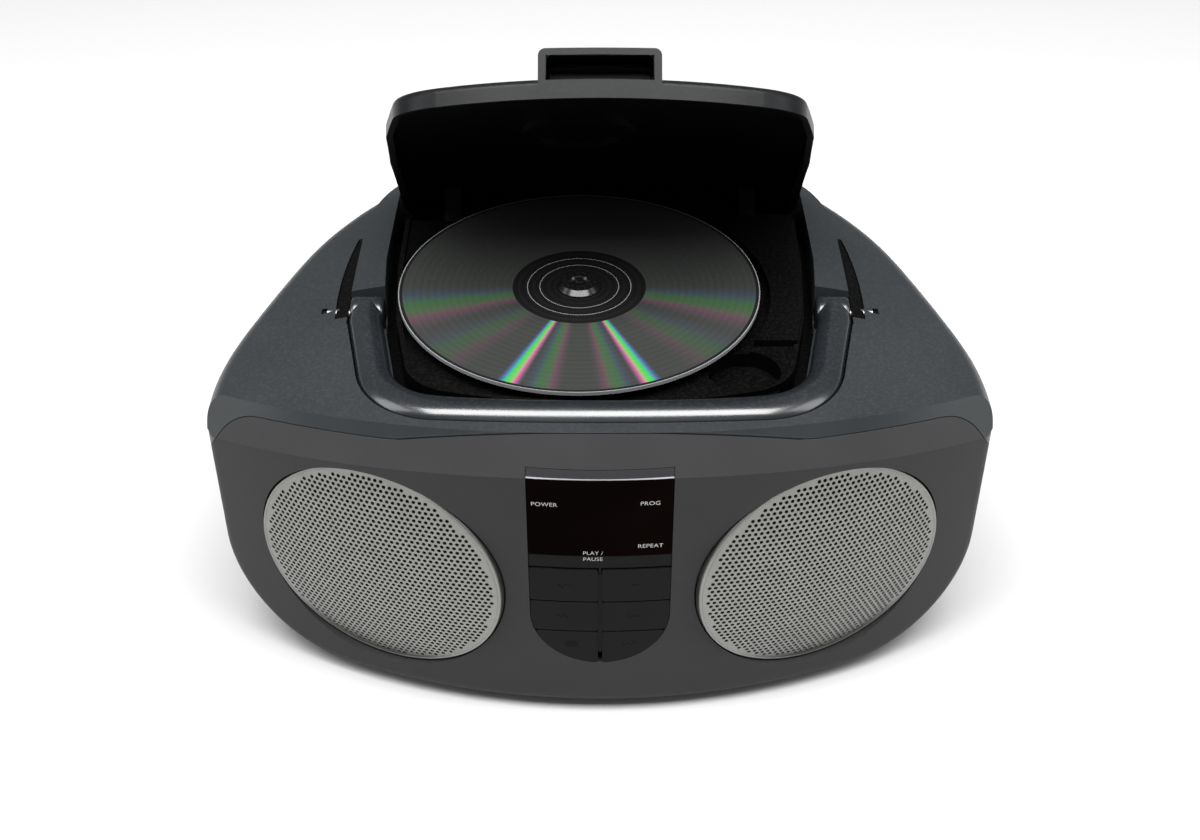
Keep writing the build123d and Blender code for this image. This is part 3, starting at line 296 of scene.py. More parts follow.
plastics = {  # colour, light variant of it, roughness, grain size, grain depth, marks, dust, coat, specular
    "housingPlastic": (pour(34, 37, 39), pour(39, 42, 44), 0.34, 0.0007, 0.02, 0.20, 0.03, 0.0, 0.35),
    # a darker copy of the housing plastic: painted shade on the lid
    "lidPlasticPaintedShade": (pour(17, 18, 19), pour(20, 21, 22), 0.34, 0.0007, 0.02, 0.20, 0.03, 0.0, 0.12),
    "shellPlastic": (pour(46, 46, 47), pour(51, 51, 52), 0.50, 0.0007, 0.03, 0.15, 0.03, 0.0, 0.10),
    "handlePlastic": (pour(20, 23, 26), pour(25, 28, 31), 0.26, 0.0011, 0.012, 0.25, 0.03, 0.4, 0.80),
    "keyPlastic": (pour(11, 11, 11), pour(15, 15, 15), 0.40, 0.0006, 0.04, 0.25, 0.02, 0.0, 0.07),
    "wellPlastic": (pour(2, 2, 2), pour(4, 4, 4), 0.40, 0.0009, 0.02, 0.20, 0.01, 0.0, 0.10),
    "hubPlastic": (pour(9, 9, 9), pour(15, 15, 15), 0.22, 0.0006, 0.02, 0.20, 0.02, 0.1, 0.40),
    "footRubber": (pour(26, 26, 26), pour(38, 38, 38), 0.78, 0.0010, 0.20, 0.10, 0.10, 0.0, 0.20),
    "boardMask": (pour(24, 84, 46), pour(40, 104, 60), 0.35, 0.0040, 0.03, 0.10, 0.05, 0.2, 0.50),
    "paperCone": (pour(18, 18, 19), pour(28, 28, 29), 0.85, 0.0016, 0.35, 0.05, 0.08, 0.0, 0.15),
    "legendInk": (pour(168, 168, 166), pour(190, 190, 188), 0.60, 0.0006, 0.05, 0.10, 0.02, 0.0, 0.20),
}

plasticLook = {
    "coatRoughness": 0.12,
    "wornGain": 1.5,
    "wornLift": 0.01,
    "dust": pour(150, 148, 144),
    "roughnessSpread": 0.14,
    "marksRoughness": 0.2,
    "grainHeight": 0.4 * mm,
}


def makePlastic(name):
    colour, paler, rough, grainSize, grainDepth, marks, dust, coat, specular = plastics[name]
    look = plasticLook
    material, tree, shader, where = startMaterial(name)
    shader.inputs["Coat Weight"].default_value = coat
    shader.inputs["Coat Roughness"].default_value = look["coatRoughness"]
    shader.inputs["Specular IOR Level"].default_value = specular
    spot = where.outputs["Object"]
    grain = placeGroup(tree, mouldGrain, (-1050, 200), {"Vector": spot, "Grain Size": grainSize})
    marked = placeGroup(tree, handlingMarks, (-1050, -50), {"Vector": spot, "Amount": marks})
    dusty = placeGroup(tree, settledDust, (-1050, -300), {"Vector": spot, "Amount": dust})
    cloud, mask = grain.outputs["Cloud"], marked.outputs["Mask"]
    worn = tuple(min(1.0, part * look["wornGain"] + look["wornLift"]) for part in paler)
    tone = mixColours(tree, (-750, 250), colour, paler, cloud)
    tone = mixColours(tree, (-520, 200), tone, worn, mask)
    tone = mixColours(tree, (-300, 200), tone, look["dust"], dusty.outputs["Mask"])
    tree.links.new(tone, shader.inputs["Base Color"])
    spread = look["roughnessSpread"]
    varied = reckon(tree, "MULTIPLY_ADD", (-520, -60), cloud, spread, rough - spread / 2)
    addRoughness(tree, shader, mask, look["marksRoughness"], varied)
    addRelief(tree, shader, grain.outputs["Height"], grainDepth, look["grainHeight"])
    return material


# metals

metals = {  # colour, darker stain, roughness, stretch of the brushing along x, brushing depth
    "grilleSteel": (pour(146, 146, 143), pour(122, 122, 119), 0.40, 0.75, 0.04),
    "platedSteel": (pour(132, 132, 134), pour(104, 104, 107), 0.36, 6.0, 0.06),
    "pinSteel": (pour(190, 190, 190), pour(160, 160, 162), 0.25, 8.0, 0.04),
    "antennaChrome": (pour(214, 214, 216), pour(190, 190, 194), 0.12, 12.0, 0.02),
    "contactBrass": (pour(196, 182, 128), pour(160, 142, 96), 0.32, 4.0, 0.05),
    "coreIron": (pour(74, 72, 70), pour(56, 52, 48), 0.60, 20.0, 0.12),
}

metalLook = {
    "lines": (240.0, 4.0),  # noise scale, detail
    "marks": 0.4,
    "roughnessSpread": 0.12,
    "marksRoughness": 0.15,
    "brushHeight": 0.2 * mm,
}


def makeMetal(name):
    colour, stain, rough, brushed, brushDepth = metals[name]
    look = metalLook
    material, tree, shader, where = startMaterial(name)
    shader.inputs["Metallic"].default_value = 1.0
    spot = where.outputs["Object"]
    along = addNode(tree, "ShaderNodeMapping", (-1000, 0),
                    {"Vector": spot, "Scale": (1.0, brushed, brushed)})
    lines = addNoise(tree, (-780, 0), along.outputs["Vector"], *look["lines"])
    marked = placeGroup(tree, handlingMarks, (-780, -260), {"Vector": spot, "Amount": look["marks"]})
    tone = mixColours(tree, (-480, 160), stain, colour, lines)
    tree.links.new(tone, shader.inputs["Base Color"])
    spread = look["roughnessSpread"]
    varied = reckon(tree, "MULTIPLY_ADD", (-480, -60), lines, spread, rough - spread / 2)
    addRoughness(tree, shader, marked.outputs["Mask"], look["marksRoughness"], varied)
    addRelief(tree, shader, lines, brushDepth, look["brushHeight"])
    return material


finishes = {name: makePlastic(name) for name in plastics}
finishes.update({name: makeMetal(name) for name in metals})
print("plastics and metals made")

# display window: near black gloss with a warm tint, painted light (grey) where it slants to face up, and a
# painted highlight line along its edge

windowLook = {
    # painted light: this grey is laid where the surface slants to face up; the line colour is a painted
    # highlight along the edge at edgeZ
    "bevel": pour(44, 44, 46),
    "line": pour(150, 150, 154),
    "edgeZ": 105.55 * mm,
    "edgeHalf": 0.22 * mm,
    "colour": pour(4, 3, 3),
    "tint": pour(14, 8, 7),
    "paintedLightFrom": 0.05,  # upward part of the surface's direction
    "sheenFrom": 0.02,
    "slantTo": 0.25,
    "sheen": 0.6,
    "grainSize": 3.0 * mm,
    "marks": 0.35,
    "roughness": 0.07,
    "marksRoughness": 0.25,
    "grainDepth": 0.02,
    "grainHeight": 0.3 * mm,
}


def addSlant(tree, place, source, low, top):
    node = addNode(tree, "ShaderNodeMapRange", place,
                   {"Value": source, "From Min": low, "From Max": windowLook["slantTo"],
                    "To Min": 0.0, "To Max": top})
    return node.outputs["Result"]


def makeWindowPlastic():
    look = windowLook
    material, tree, shader, where = startMaterial("windowPlastic")
    spot = where.outputs["Object"]
    facing = addNode(tree, "ShaderNodeSeparateXYZ", (-760, -560), {0: where.outputs["Normal"]})
    upward = facing.outputs["Z"]
    sheen = addSlant(tree, (-480, -560), upward, look["sheenFrom"], look["sheen"])
    tree.links.new(sheen, shader.inputs["Specular IOR Level"])
    grain = placeGroup(tree, mouldGrain, (-760, 100), {"Vector": spot, "Grain Size": look["grainSize"]})
    marked = placeGroup(tree, handlingMarks, (-760, -120), {"Vector": spot, "Amount": look["marks"]})
    split = addNode(tree, "ShaderNodeSeparateXYZ", (-760, 460), {0: spot})
    # painted highlight line along the window's edge
    edge = reckon(tree, "COMPARE", (-480, 700), split.outputs["Z"], look["edgeZ"], look["edgeHalf"])
    tone = mixColours(tree, (-480, 100), look["colour"], look["tint"], grain.outputs["Cloud"])
    # painted light: grey where the surface slants to face up
    tone = mixColours(tree, (-280, 200), tone, look["bevel"],
                      addSlant(tree, (-480, 460), upward, look["paintedLightFrom"], 1.0))
    tone = mixColours(tree, (-120, 200), tone, look["line"], edge)
    tree.links.new(tone, shader.inputs["Base Color"])
    addRoughness(tree, shader, marked.outputs["Mask"], look["marksRoughness"], look["roughness"])
    addRelief(tree, shader, grain.outputs["Height"], look["grainDepth"], look["grainHeight"])
    return material


# compact disc: dark silver foil with painted rainbow sheen in wedges, clear middle, and painted highlights on
# two rings and the rim

discLook = {
    "silver": pour(40, 42, 40),
    "clear": pour(3, 3, 3),
    # painted highlight colour on the rim edge and the two inner rings
    "paintedHighlight": pour(120, 121, 122),
    "inner": 22.2 * mm,
    "outer": 58.6 * mm,
    "rim": 59.65 * mm,
    "metal": 0.15,
    "roughness": 0.5,
    "ringRadii": (13.1 * mm, 17.2 * mm),
    "ringHalf": 0.12 * mm,
    "grooves": 2600.0,
    "grooveRoughness": 0.03,
    "grooveDepth": 0.02,
    "grooveHeight": 0.1 * mm,
    "wedgeCore": 0.2,
    # painted diffraction sheen: the rainbow stands in for light that the grooves split into colours
    "rainbow": [  # place across the wedge, colour
        (0.0, pour(90, 110, 190)),
        (0.22, pour(70, 130, 200)),
        (0.42, pour(40, 205, 60)),
        (0.58, pour(120, 190, 90)),
        (0.72, pour(225, 100, 170)),
        (1.0, pour(150, 110, 150)),
    ],
    "wedges": [  # degrees round the disc, half width, strength
        (-111.5, 4.2, 0.45),
        (-67.5, -4.2, 0.45),
        (-101.0, 7.0, 0.06),
        (-78.0, -7.0, 0.06),
        (-166.0, 15.0, 0.06),
        (-14.0, -15.0, 0.06),
        (-138.0, 14.0, 0.025),
        (-42.0, -14.0, 0.025),
    ],
}


# one wedge of painted rainbow sheen, fading out towards its sides
def buildPaintedRainbowSheen():
    tree, start, end = makeGroup(
        "paintedRainbowSheen",
        [("Angle", "NodeSocketFloat", 0.0), ("Middle", "NodeSocketFloat", 0.0),
         ("Half Width", "NodeSocketFloat", 8.0), ("Strength", "NodeSocketFloat", 0.5)],
        [("Color", "NodeSocketColor"), ("Mask", "NodeSocketFloat")])
    offset = reckon(tree, "SUBTRACT", (-650, 0), start.outputs["Angle"], start.outputs["Middle"])
    share = reckon(tree, "DIVIDE", (-450, 0), offset, start.outputs["Half Width"])
    across = reckon(tree, "MULTIPLY_ADD", (-250, 0), share, 0.5, 0.5, clamped=True)
    ramp = addNode(tree, "ShaderNodeValToRGB", (-50, 100), {"Fac": across})
    stops = ramp.color_ramp.elements
    first, *between, last = discLook["rainbow"]
    for stop, (place, colour) in ((stops[0], first), (stops[1], last)):
        stop.position = place
        stop.color = colour
    for place, colour in between:
        stops.new(place).color = colour
    fromMiddle = reckon(tree, "ABSOLUTE", (-450, -250), share)
    soft = addNode(tree, "ShaderNodeMapRange", (-250, -250),
                   {"Value": fromMiddle, "From Min": 1.0, "From Max": discLook["wedgeCore"],
                    "To Min": 0.0, "To Max": 1.0}, interpolation_type="SMOOTHSTEP")
    strong = reckon(tree, "MULTIPLY", (0, -250), soft.outputs["Result"], start.outputs["Strength"])
    tree.links.new(ramp.outputs["Color"], end.inputs["Color"])
    tree.links.new(strong, end.inputs["Mask"])
    return tree


paintedRainbowSheen = buildPaintedRainbowSheen()


def makeDiscFoil():
    look = discLook
    low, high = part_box("disc")
    centre = [(a + b) / 2 for a, b in zip(low, high)]
    material, tree, shader, where = startMaterial("discFoil")
    shader.inputs["Metallic"].default_value = look["metal"]
    local = addNode(tree, "ShaderNodeVectorMath", (-2000, 0), {0: where.outputs["Object"], 1: centre},
                    operation="SUBTRACT").outputs[0]
    split = addNode(tree, "ShaderNodeSeparateXYZ", (-1800, 0), {0: local})
    turn = reckon(tree, "ARCTAN2", (-1600, 150), split.outputs["Y"], split.outputs["X"])
    degrees = reckon(tree, "MULTIPLY", (-1420, 150), turn, 180.0 / math.pi)
    flat = addNode(tree, "ShaderNodeVectorMath", (-1800, -200), {0: local, 1: (1.0, 1.0, 0.0)},
                   operation="MULTIPLY").outputs[0]
    radius = addNode(tree, "ShaderNodeVectorMath", (-1600, -200), {0: flat},
                     operation="LENGTH").outputs["Value"]
    inside = reckon(tree, "GREATER_THAN", (-1300, -250), radius, look["inner"])
    outside = reckon(tree, "LESS_THAN", (-1300, -420), radius, look["outer"])
    foil = reckon(tree, "MULTIPLY", (-1100, -300), inside, outside)
    # painted highlight: the rim edge and two thin rings
    highlightMask = reckon(tree, "GREATER_THAN", (-1300, -800), radius, look["rim"])
    for step, ringRadius in enumerate(look["ringRadii"]):
        level = -960 - 160 * step
        ring = reckon(tree, "COMPARE", (-1300, level), radius, ringRadius, look["ringHalf"])
        highlightMask = reckon(tree, "MAXIMUM", (-1100, level), highlightMask, ring)
    colour = mixColours(tree, (-900, 0), look["clear"], look["silver"], foil)
    colour = mixColours(tree, (-780, 0), colour, look["paintedHighlight"], highlightMask)
    # painted rainbow sheen laid over the foil, wedge by wedge
    for step, (middle, halfWidth, strength) in enumerate(look["wedges"]):
        level = 500 + 260 * step
        wedge = placeGroup(tree, paintedRainbowSheen, (-1100, level),
                           {"Angle": degrees, "Middle": middle, "Half Width": halfWidth,
                            "Strength": strength})
        share = reckon(tree, "MULTIPLY", (-880, level), wedge.outputs["Mask"], foil)
        colour = mixColours(tree, (-660 + 200 * step, 300), colour, wedge.outputs["Color"], share)
    tree.links.new(colour, shader.inputs["Base Color"])
    phase = reckon(tree, "MULTIPLY", (-1300, -600), radius, look["grooves"])
    wave = reckon(tree, "SINE", (-1100, -600), phase)
    addRoughness(tree, shader, wave, look["grooveRoughness"], look["roughness"])
    addRelief(tree, shader, wave, look["grooveDepth"], look["grooveHeight"])
    return material


# pick-up lens: coated glass bead

lensLook = {
    "blue": pour(60, 70, 130),
    "violet": pour(120, 80, 150),
    "clearness": 0.4,
    "coat": 1.0,
    "grainSize": 0.8 * mm,
    "roughness": 0.03,
    "roughnessSpread": 0.05,
}


def makeLensGlass():
    look = lensLook
    material, tree, shader, where = startMaterial("lensGlass")
    shader.inputs["Transmission Weight"].default_value = look["clearness"]
    shader.inputs["Coat Weight"].default_value = look["coat"]
    grain = placeGroup(tree, mouldGrain, (-660, 0),
                       {"Vector": where.outputs["Object"], "Grain Size": look["grainSize"]})
    cloud = grain.outputs["Cloud"]
    tone = mixColours(tree, (-400, 60), look["blue"], look["violet"], cloud)
    tree.links.new(tone, shader.inputs["Base Color"])
    addRoughness(tree, shader, cloud, look["roughnessSpread"], look["roughness"])
    return material


finishes["windowPlastic"] = makeWindowPlastic()
finishes["discFoil"] = makeDiscFoil()
finishes["lensGlass"] = makeLensGlass()
print("window, disc and lens finishes made")

# each CAD node keeps its shape and takes the finish of its slot, or the one named for it

finishOfSlot = {
    "housing_grey": "housingPlastic",
    "shell_grey": "shellPlastic",
    "grille_silver": "grilleSteel",
    "lens_black": "windowPlastic",
    "key_plastic": "keyPlastic",
    "handle_grey": "handlePlastic",
    "well_black": "wellPlastic",
    "steel_pin": "pinSteel",
    "disc_silver": "discFoil",
    "hub_black": "hubPlastic",
    "paper_cone": "paperCone",
    "driver_steel": "platedSteel",
    "board_green": "boardMask",
    "core_iron": "coreIron",
    "contact_brass": "contactBrass",
    "foot_rubber": "footRubber",
    "antenna_chrome": "antennaChrome",
    "lens_glass": "lensGlass",
}

# the lid shell takes the darker copy of the housing plastic, which paints shade on it
finishOfNode = {"lid_shell": "lidPlasticPaintedShade"}


def dressNodes():
    for entry in frame["record"]["subparts"]:
        part = frame["nodes"][entry["node"]]
        finish = finishes[finishOfNode.get(entry["node"], finishOfSlot[entry["material_slot"]])]
        if part.material_slots:
            for place in part.material_slots:
                place.material = finish
        else:
            part.data.materials.append(finish)


dressNodes()
print("CAD nodes dressed")

# helpers for the scene's own pieces


def placePiece(name, data, finish, smooth=False):
    if smooth:
        for face in data.polygons:
            face.use_smooth = True
    data.materials.clear()
    data.materials.append(finishes[finish])
    return addObject(name, data)


def meshData(name, mesh, matrix=None):
    data = bpy.data.meshes.new(name)
    mesh.to_mesh(data)
    mesh.free()
    if matrix is not None:
        data.transform(matrix)
    return data


def thicken(piece, title, thickness, offset=0.0):
    sheet = piece.modifiers.new(title, "SOLIDIFY")
    sheet.thickness = thickness
    sheet.offset = offset


def bridge(mesh, here, there):  # four-sided faces between two closed rings of points
    for spot in range(len(here)):
        after = (spot + 1) % len(here)
        mesh.faces.new((here[spot], here[after], there[after], there[spot]))


def surfaceOf(node):
    return BVHTree.FromObject(frame["nodes"][node], bpy.context.evaluated_depsgraph_get())


# perforated grilles: domed sheet with staggered round holes and a rolled rim

grilleSizes = {
    "radius": 42.0 * mm,
    "bulge": 5.0 * mm,
    "sheet": 0.7 * mm,
    "pitch": 1.95 * mm,
    "hole": 0.62 * mm,
    "holedTo": 39.4 * mm,
    "sheetTo": 41.3 * mm,
    "weld": 4,  # micrometres within which two corners are one
    "rimLip": [(-0.4, -0.3), (-0.3, 0.15)],  # millimetres out from the sheet's edge, and up
    "rimRoll": [(-0.45, 0.3), (-0.12, 0.05), (0.0, -0.4), (0.0, -3.4), (-0.8, -3.4), (-0.8, -0.6)],
    "rimTurns": 128,
}

speakerSeat = {
    "x": 71.5 * mm,
    "z": 55.4 * mm,
    "yaw": 20.5,
    "tilt": 4.0,
    "sink": 2.4 * mm,
    "frontY": -94.0 * mm,
    "frontRadius": 215.0 * mm,
    "datumZ": 107.5 * mm,
    "lean": 0.07,
}


def speakerMatrix(side):
    seat = speakerSeat
    yaw = math.radians(seat["yaw"])
    tilt = math.radians(seat["tilt"])
    outward = Vector((side * math.sin(yaw) * math.cos(tilt), -math.cos(yaw) * math.cos(tilt),
                      -math.sin(tilt)))
    across = Vector((math.cos(yaw), side * math.sin(yaw), 0.0))
    faceY = (seat["frontY"] + seat["lean"] * (seat["datumZ"] - seat["z"]) + seat["frontRadius"]
             - math.sqrt(seat["frontRadius"] ** 2 - seat["x"] ** 2))
    centre = Vector((side * seat["x"], faceY, seat["z"])) - outward * seat["sink"]
    axes = Matrix((across, outward.cross(across), outward)).transposed()
    return Matrix.Translation(centre) @ axes.to_4x4()


def domeHeight(radius):
    size = grilleSizes
    sphere = (size["radius"] ** 2 + size["bulge"] ** 2) / (2 * size["bulge"])
    return math.sqrt(sphere ** 2 - radius ** 2) - (sphere - size["bulge"])


def onDome(x, y):
    radius = math.hypot(x, y)
    limit = grilleSizes["sheetTo"]
    if radius > limit:
        x, y, radius = x * limit / radius, y * limit / radius, limit
    return Vector((x, y, domeHeight(radius)))


def perforatedSheet(mesh):
    size = grilleSizes
    pitch = size["pitch"]
    reach = pitch / math.sqrt(3)
    shared = {}

    def corner(x, y):
        place = onDome(x, y)
        key = (round(place.x * 1e6 / size["weld"]), round(place.y * 1e6 / size["weld"]))
        if key not in shared:
            shared[key] = mesh.verts.new(place)
        return shared[key]

    rows = int(size["radius"] / (pitch * math.sqrt(3) / 2)) + 2
    for row in range(-rows, rows + 1):
        for column in range(-rows, rows + 1):
            x = (column + 0.5 * (row % 2)) * pitch
            y = row * pitch * math.sqrt(3) / 2
            fromMiddle = math.hypot(x, y)
            if fromMiddle > size["sheetTo"] + 0.2 * pitch:
                continue
            outline = []  # corners and middles of the sides of one six-sided cell
            for step in range(6):
                turn = math.radians(30 + 60 * step)
                nextTurn = turn + math.radians(60)
                here = (x + reach * math.cos(turn), y + reach * math.sin(turn))
                there = (x + reach * math.cos(nextTurn), y + reach * math.sin(nextTurn))
                outline.append(corner(*here))
                outline.append(corner((here[0] + there[0]) / 2, (here[1] + there[1]) / 2))
            if fromMiddle > size["holedTo"]:
                ring = list(dict.fromkeys(outline))
                if len(ring) > 2:
                    mesh.faces.new(ring)
                continue
            hole = []
            for step in range(len(outline)):
                turn = math.radians(30 + 30 * step)
                place = onDome(x + size["hole"] * math.cos(turn), y + size["hole"] * math.sin(turn))
                hole.append(mesh.verts.new(place))
            bridge(mesh, outline, hole)


def addGrille(name, side, node):
    mesh = bmesh.new()
    perforatedSheet(mesh)
    sheet = placePiece(name, meshData(name, mesh, speakerMatrix(side)), "grilleSteel")
    thicken(sheet, "sheet", grilleSizes["sheet"], offset=-1.0)
    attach(sheet, "body")
    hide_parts(node)


def addRim(name, side):
    size = grilleSizes
    edge = size["sheetTo"]
    profile = [(edge + out * mm, domeHeight(edge) + up * mm) for out, up in size["rimLip"]]
    profile += [(size["radius"] + out * mm, up * mm) for out, up in size["rimRoll"]]
    turns = size["rimTurns"]
    mesh = bmesh.new()
    rings = []
    for step in range(turns):
        turn = 2 * math.pi * step / turns
        rings.append([mesh.verts.new((r * math.cos(turn), r * math.sin(turn), z)) for r, z in profile])
    for step in range(turns):
        bridge(mesh, rings[(step + 1) % turns], rings[step])
    bmesh.ops.recalc_face_normals(mesh, faces=mesh.faces)
    rim = placePiece(name, meshData(name, mesh, speakerMatrix(side)), "grilleSteel", smooth=True)
    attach(rim, "body")


addGrille("leftPerforatedGrille", -1, "left_grille")
addGrille("rightPerforatedGrille", 1, "right_grille")
addRim("leftGrilleRim", -1)
addRim("rightGrilleRim", 1)
print("grilles perforated")

# handle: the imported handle's walls set the path, and the bar between them is rounded

handleSizes = {
    "middle": Vector((0.0, -13.5 * mm)),
    "firstLevel": 117.0 * mm,
    "probeDepth": 3.6 * mm,
    "probes": 4,
    "topRound": 4.6 * mm,
    "topShare": 0.48,
    "topSteps": 8,
    "footRound": 1.2 * mm,
    "footSteps": 3,
    "height": 7.9 * mm,
    "stations": 181,
    "barrelX": (71.1 * mm, 82.1 * mm),
    "barrelZ": 111.0 * mm,
    "barrelRadius": 5.95 * mm,
    "barrelRound": 1.3 * mm,
    "barrelTurns": 48,
}


def barProfile(width):  # section of the bar: out from its inner side, and down from its top
    size = handleSizes
    top, foot, height = size["topRound"], size["footRound"], size["height"]
    across = size["topShare"] * width
    quarters = [  # middle, half axes, degrees at the start, steps
        (foot, foot - height, foot, foot, 270, size["footSteps"]),
        (across, -top, across, top, 180, size["topSteps"]),
        (width - across, -top, across, top, 90, size["topSteps"]),
        (width - foot, foot - height, foot, foot, 0, size["footSteps"]),
    ]
    points = []
    for middleX, middleZ, halfX, halfZ, start, steps in quarters:
        for step in range(steps + 1):
            turn = math.radians(start - 90 * step / steps)
            points.append((middleX + halfX * math.cos(turn), middleZ + halfZ * math.sin(turn)))
    return points


def probeHandle(tree, direction):
    size = handleSizes
    start = Vector((*size["middle"], 0.0))
    level = size["firstLevel"]
    for attempt in range(size["probes"]):  # settles on the height of the bar's top at this station
        origin = start + Vector((0.0, 0.0, level - size["probeDepth"]))
        inner = tree.ray_cast(origin, direction)[0]
        outer = tree.ray_cast(origin + direction * farOff, -direction)[0]
        if inner is None or outer is None:
            return None
        between = (inner + outer) / 2
        level = tree.ray_cast(Vector((between.x, between.y, farOff)), down)[0].z
    return inner, outer, level


def addBarrel(mesh, side):
    size = handleSizes
    near, far = size["barrelX"]
    radius, soft = size["barrelRadius"], size["barrelRound"]
    profile = [(near, radius - soft), (near + 0.3 * soft, radius - 0.3 * soft), (near + soft, radius),
               (far - soft, radius), (far - 0.3 * soft, radius - 0.3 * soft), (far, radius - soft)]
    rings = []
    for x, reach in profile:
        ring = []
        for step in range(size["barrelTurns"]):
            turn = 2 * math.pi * step / size["barrelTurns"]
            ring.append(mesh.verts.new((side * x, size["middle"].y + reach * math.cos(turn),
                                        size["barrelZ"] + reach * math.sin(turn))))
        rings.append(ring)
    for here, there in zip(rings, rings[1:]):
        bridge(mesh, here, there)
    mesh.faces.new(rings[0])
    mesh.faces.new(list(reversed(rings[-1])))


def addHandle():
    size = handleSizes
    tree = surfaceOf("handle")
    mesh = bmesh.new()
    rings = []
    for step in range(size["stations"]):
        turn = -math.pi * step / (size["stations"] - 1)
        direction = Vector((math.cos(turn), math.sin(turn), 0.0))
        probed = probeHandle(tree, direction)
        if probed is None:
            continue
        inner, outer, level = probed
        ring = []
        for along, drop in barProfile((outer - inner).length):
            place = inner + direction * along
            ring.append(mesh.verts.new((place.x, place.y, level + drop)))
        rings.append(ring)
    for here, there in zip(rings, rings[1:]):
        bridge(mesh, here, there)
    mesh.faces.new(list(reversed(rings[0])))
    mesh.faces.new(rings[-1])
    for side in (-1, 1):
        addBarrel(mesh, side)
    bmesh.ops.recalc_face_normals(mesh, faces=mesh.faces)
    bar = placePiece("roundedHandle", meshData("roundedHandle", mesh), "handlePlastic", smooth=True)
    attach(bar, "handle")
    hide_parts("handle")


addHandle()
print("handle rounded")

# hood: a black sheet over the inside of the finger hood, drawn on the closed lid and swung open with it

hoodSizes = {
    "half": 16.1 * mm,
    "front": -69.4 * mm,
    "back": -58.1 * mm,
    "low": 124.9 * mm,
    "high": 131.1 * mm,
    "cornerRound": 1.6 * mm,
    "cornerSteps": 4,
    "skin": 0.12 * mm,
    "hingeY": 52.5 * mm,
    "hingeZ": 102.8 * mm,
    "open": 42.8,
}


def lidSwing():
    size = hoodSizes
    hinge = Vector((0.0, size["hingeY"], size["hingeZ"]))
    return (Matrix.Translation(hinge) @ Matrix.Rotation(math.radians(-size["open"]), 4, "X")
            @ Matrix.Translation(-hinge))


def addHoodBlackSheet():
    size = hoodSizes
    half, front, back, low, high = (size[key] for key in ("half", "front", "back", "low", "high"))
    mesh = bmesh.new()
    spots = {}
    for x in (-half, half):
        for y in (front, back):
            for z in (low, high):
                spots[(x, y, z)] = mesh.verts.new((x, y, z))
    for quad in (((-half, front, high), (half, front, high), (half, back, high), (-half, back, high)),
                 ((-half, back, low), (half, back, low), (half, back, high), (-half, back, high)),
                 ((-half, front, low), (-half, back, low), (-half, back, high), (-half, front, high)),
                 ((half, front, low), (half, back, low), (half, back, high), (half, front, high))):
        mesh.faces.new([spots[key] for key in quad])
    corners = [edge for edge in mesh.edges if len(edge.link_faces) == 2]
    bmesh.ops.bevel(mesh, geom=corners, offset=size["cornerRound"], segments=size["cornerSteps"],
                    affect="EDGES", profile=0.5)
    bmesh.ops.recalc_face_normals(mesh, faces=mesh.faces)
    lining = placePiece("hoodBlackSheet", meshData("hoodBlackSheet", mesh, lidSwing()), "wellPlastic")
    thicken(lining, "skin", size["skin"])
    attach(lining, "lid")


addHoodBlackSheet()
print("hood lined")

# slot shades: black crescents of painted shade a little below the rim of the two slots beside the handle
# pivots

slotSizes = {
    "inner": [(82.9, -19.2), (82.9, 30.6)],
    "outer": [(83.6, 31.3), (84.5, 30.4), (85.6, 22.5), (86.5, 13.5), (86.95, 4.5), (87.0, -4.0),
              (86.9, -12.0), (86.7, -19.2)],
    "besideX": 89.5 * mm,
    "below": 0.55 * mm,
    "slope": 0.2,
    "sheet": 0.3 * mm,
}


def addSlotShade(side):
    size = slotSizes
    tree = surfaceOf("top_housing")
    mesh = bmesh.new()
    corners = []
    for x, y in size["inner"] + size["outer"]:
        above = tree.ray_cast(Vector((side * size["besideX"], y * mm, farOff)), down)[0]
        rise = (size["besideX"] - x * mm) * size["slope"]
        corners.append(mesh.verts.new((side * x * mm, y * mm, above.z + rise - size["below"])))
    mesh.faces.new(corners)
    bmesh.ops.triangulate(mesh, faces=mesh.faces)
    name = ("left" if side < 0 else "right") + "SlotShade"
    # painted shade: a thin black sheet just inside the slot
    shade = placePiece(name, meshData(name, mesh), "wellPlastic")
    thicken(shade, "sheet", size["sheet"])
    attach(shade, "body")


for side in (-1, 1):
    addSlotShade(side)
print("slots shaded")

# what is set on the front face: a black strip of painted shade between the keys, small generic words, signs
# on the keys

faceSizes = {
    "rayFrom": -0.4,  # metres, in front of the face
    "lift": 0.07 * mm,
}


def faceMatrix(nodes, x, z):  # a place a little in front of the nearest of these nodes, turned as its face is
    start = Vector((x, faceSizes["rayFrom"], z))
    hits = [surfaceOf(node).ray_cast(start, Vector((0.0, 1.0, 0.0))) for node in nodes]
    met = min((hit for hit in hits if hit[0] is not None), key=lambda hit: hit[3])
    spot, outward = met[:2]
    if outward.y > 0:
        outward = -outward
    across = Vector((-outward.y, outward.x, 0.0)).normalized()
    axes = Matrix((across, outward.cross(across), outward)).transposed()
    return Matrix.Translation(spot + outward * faceSizes["lift"]) @ axes.to_4x4()


keyGapShadeSizes = {
    "half": 0.72 * mm,
    "low": 27.0,
    "high": 65.0,
    "steps": 30,
    "sheet": 0.1 * mm,
}


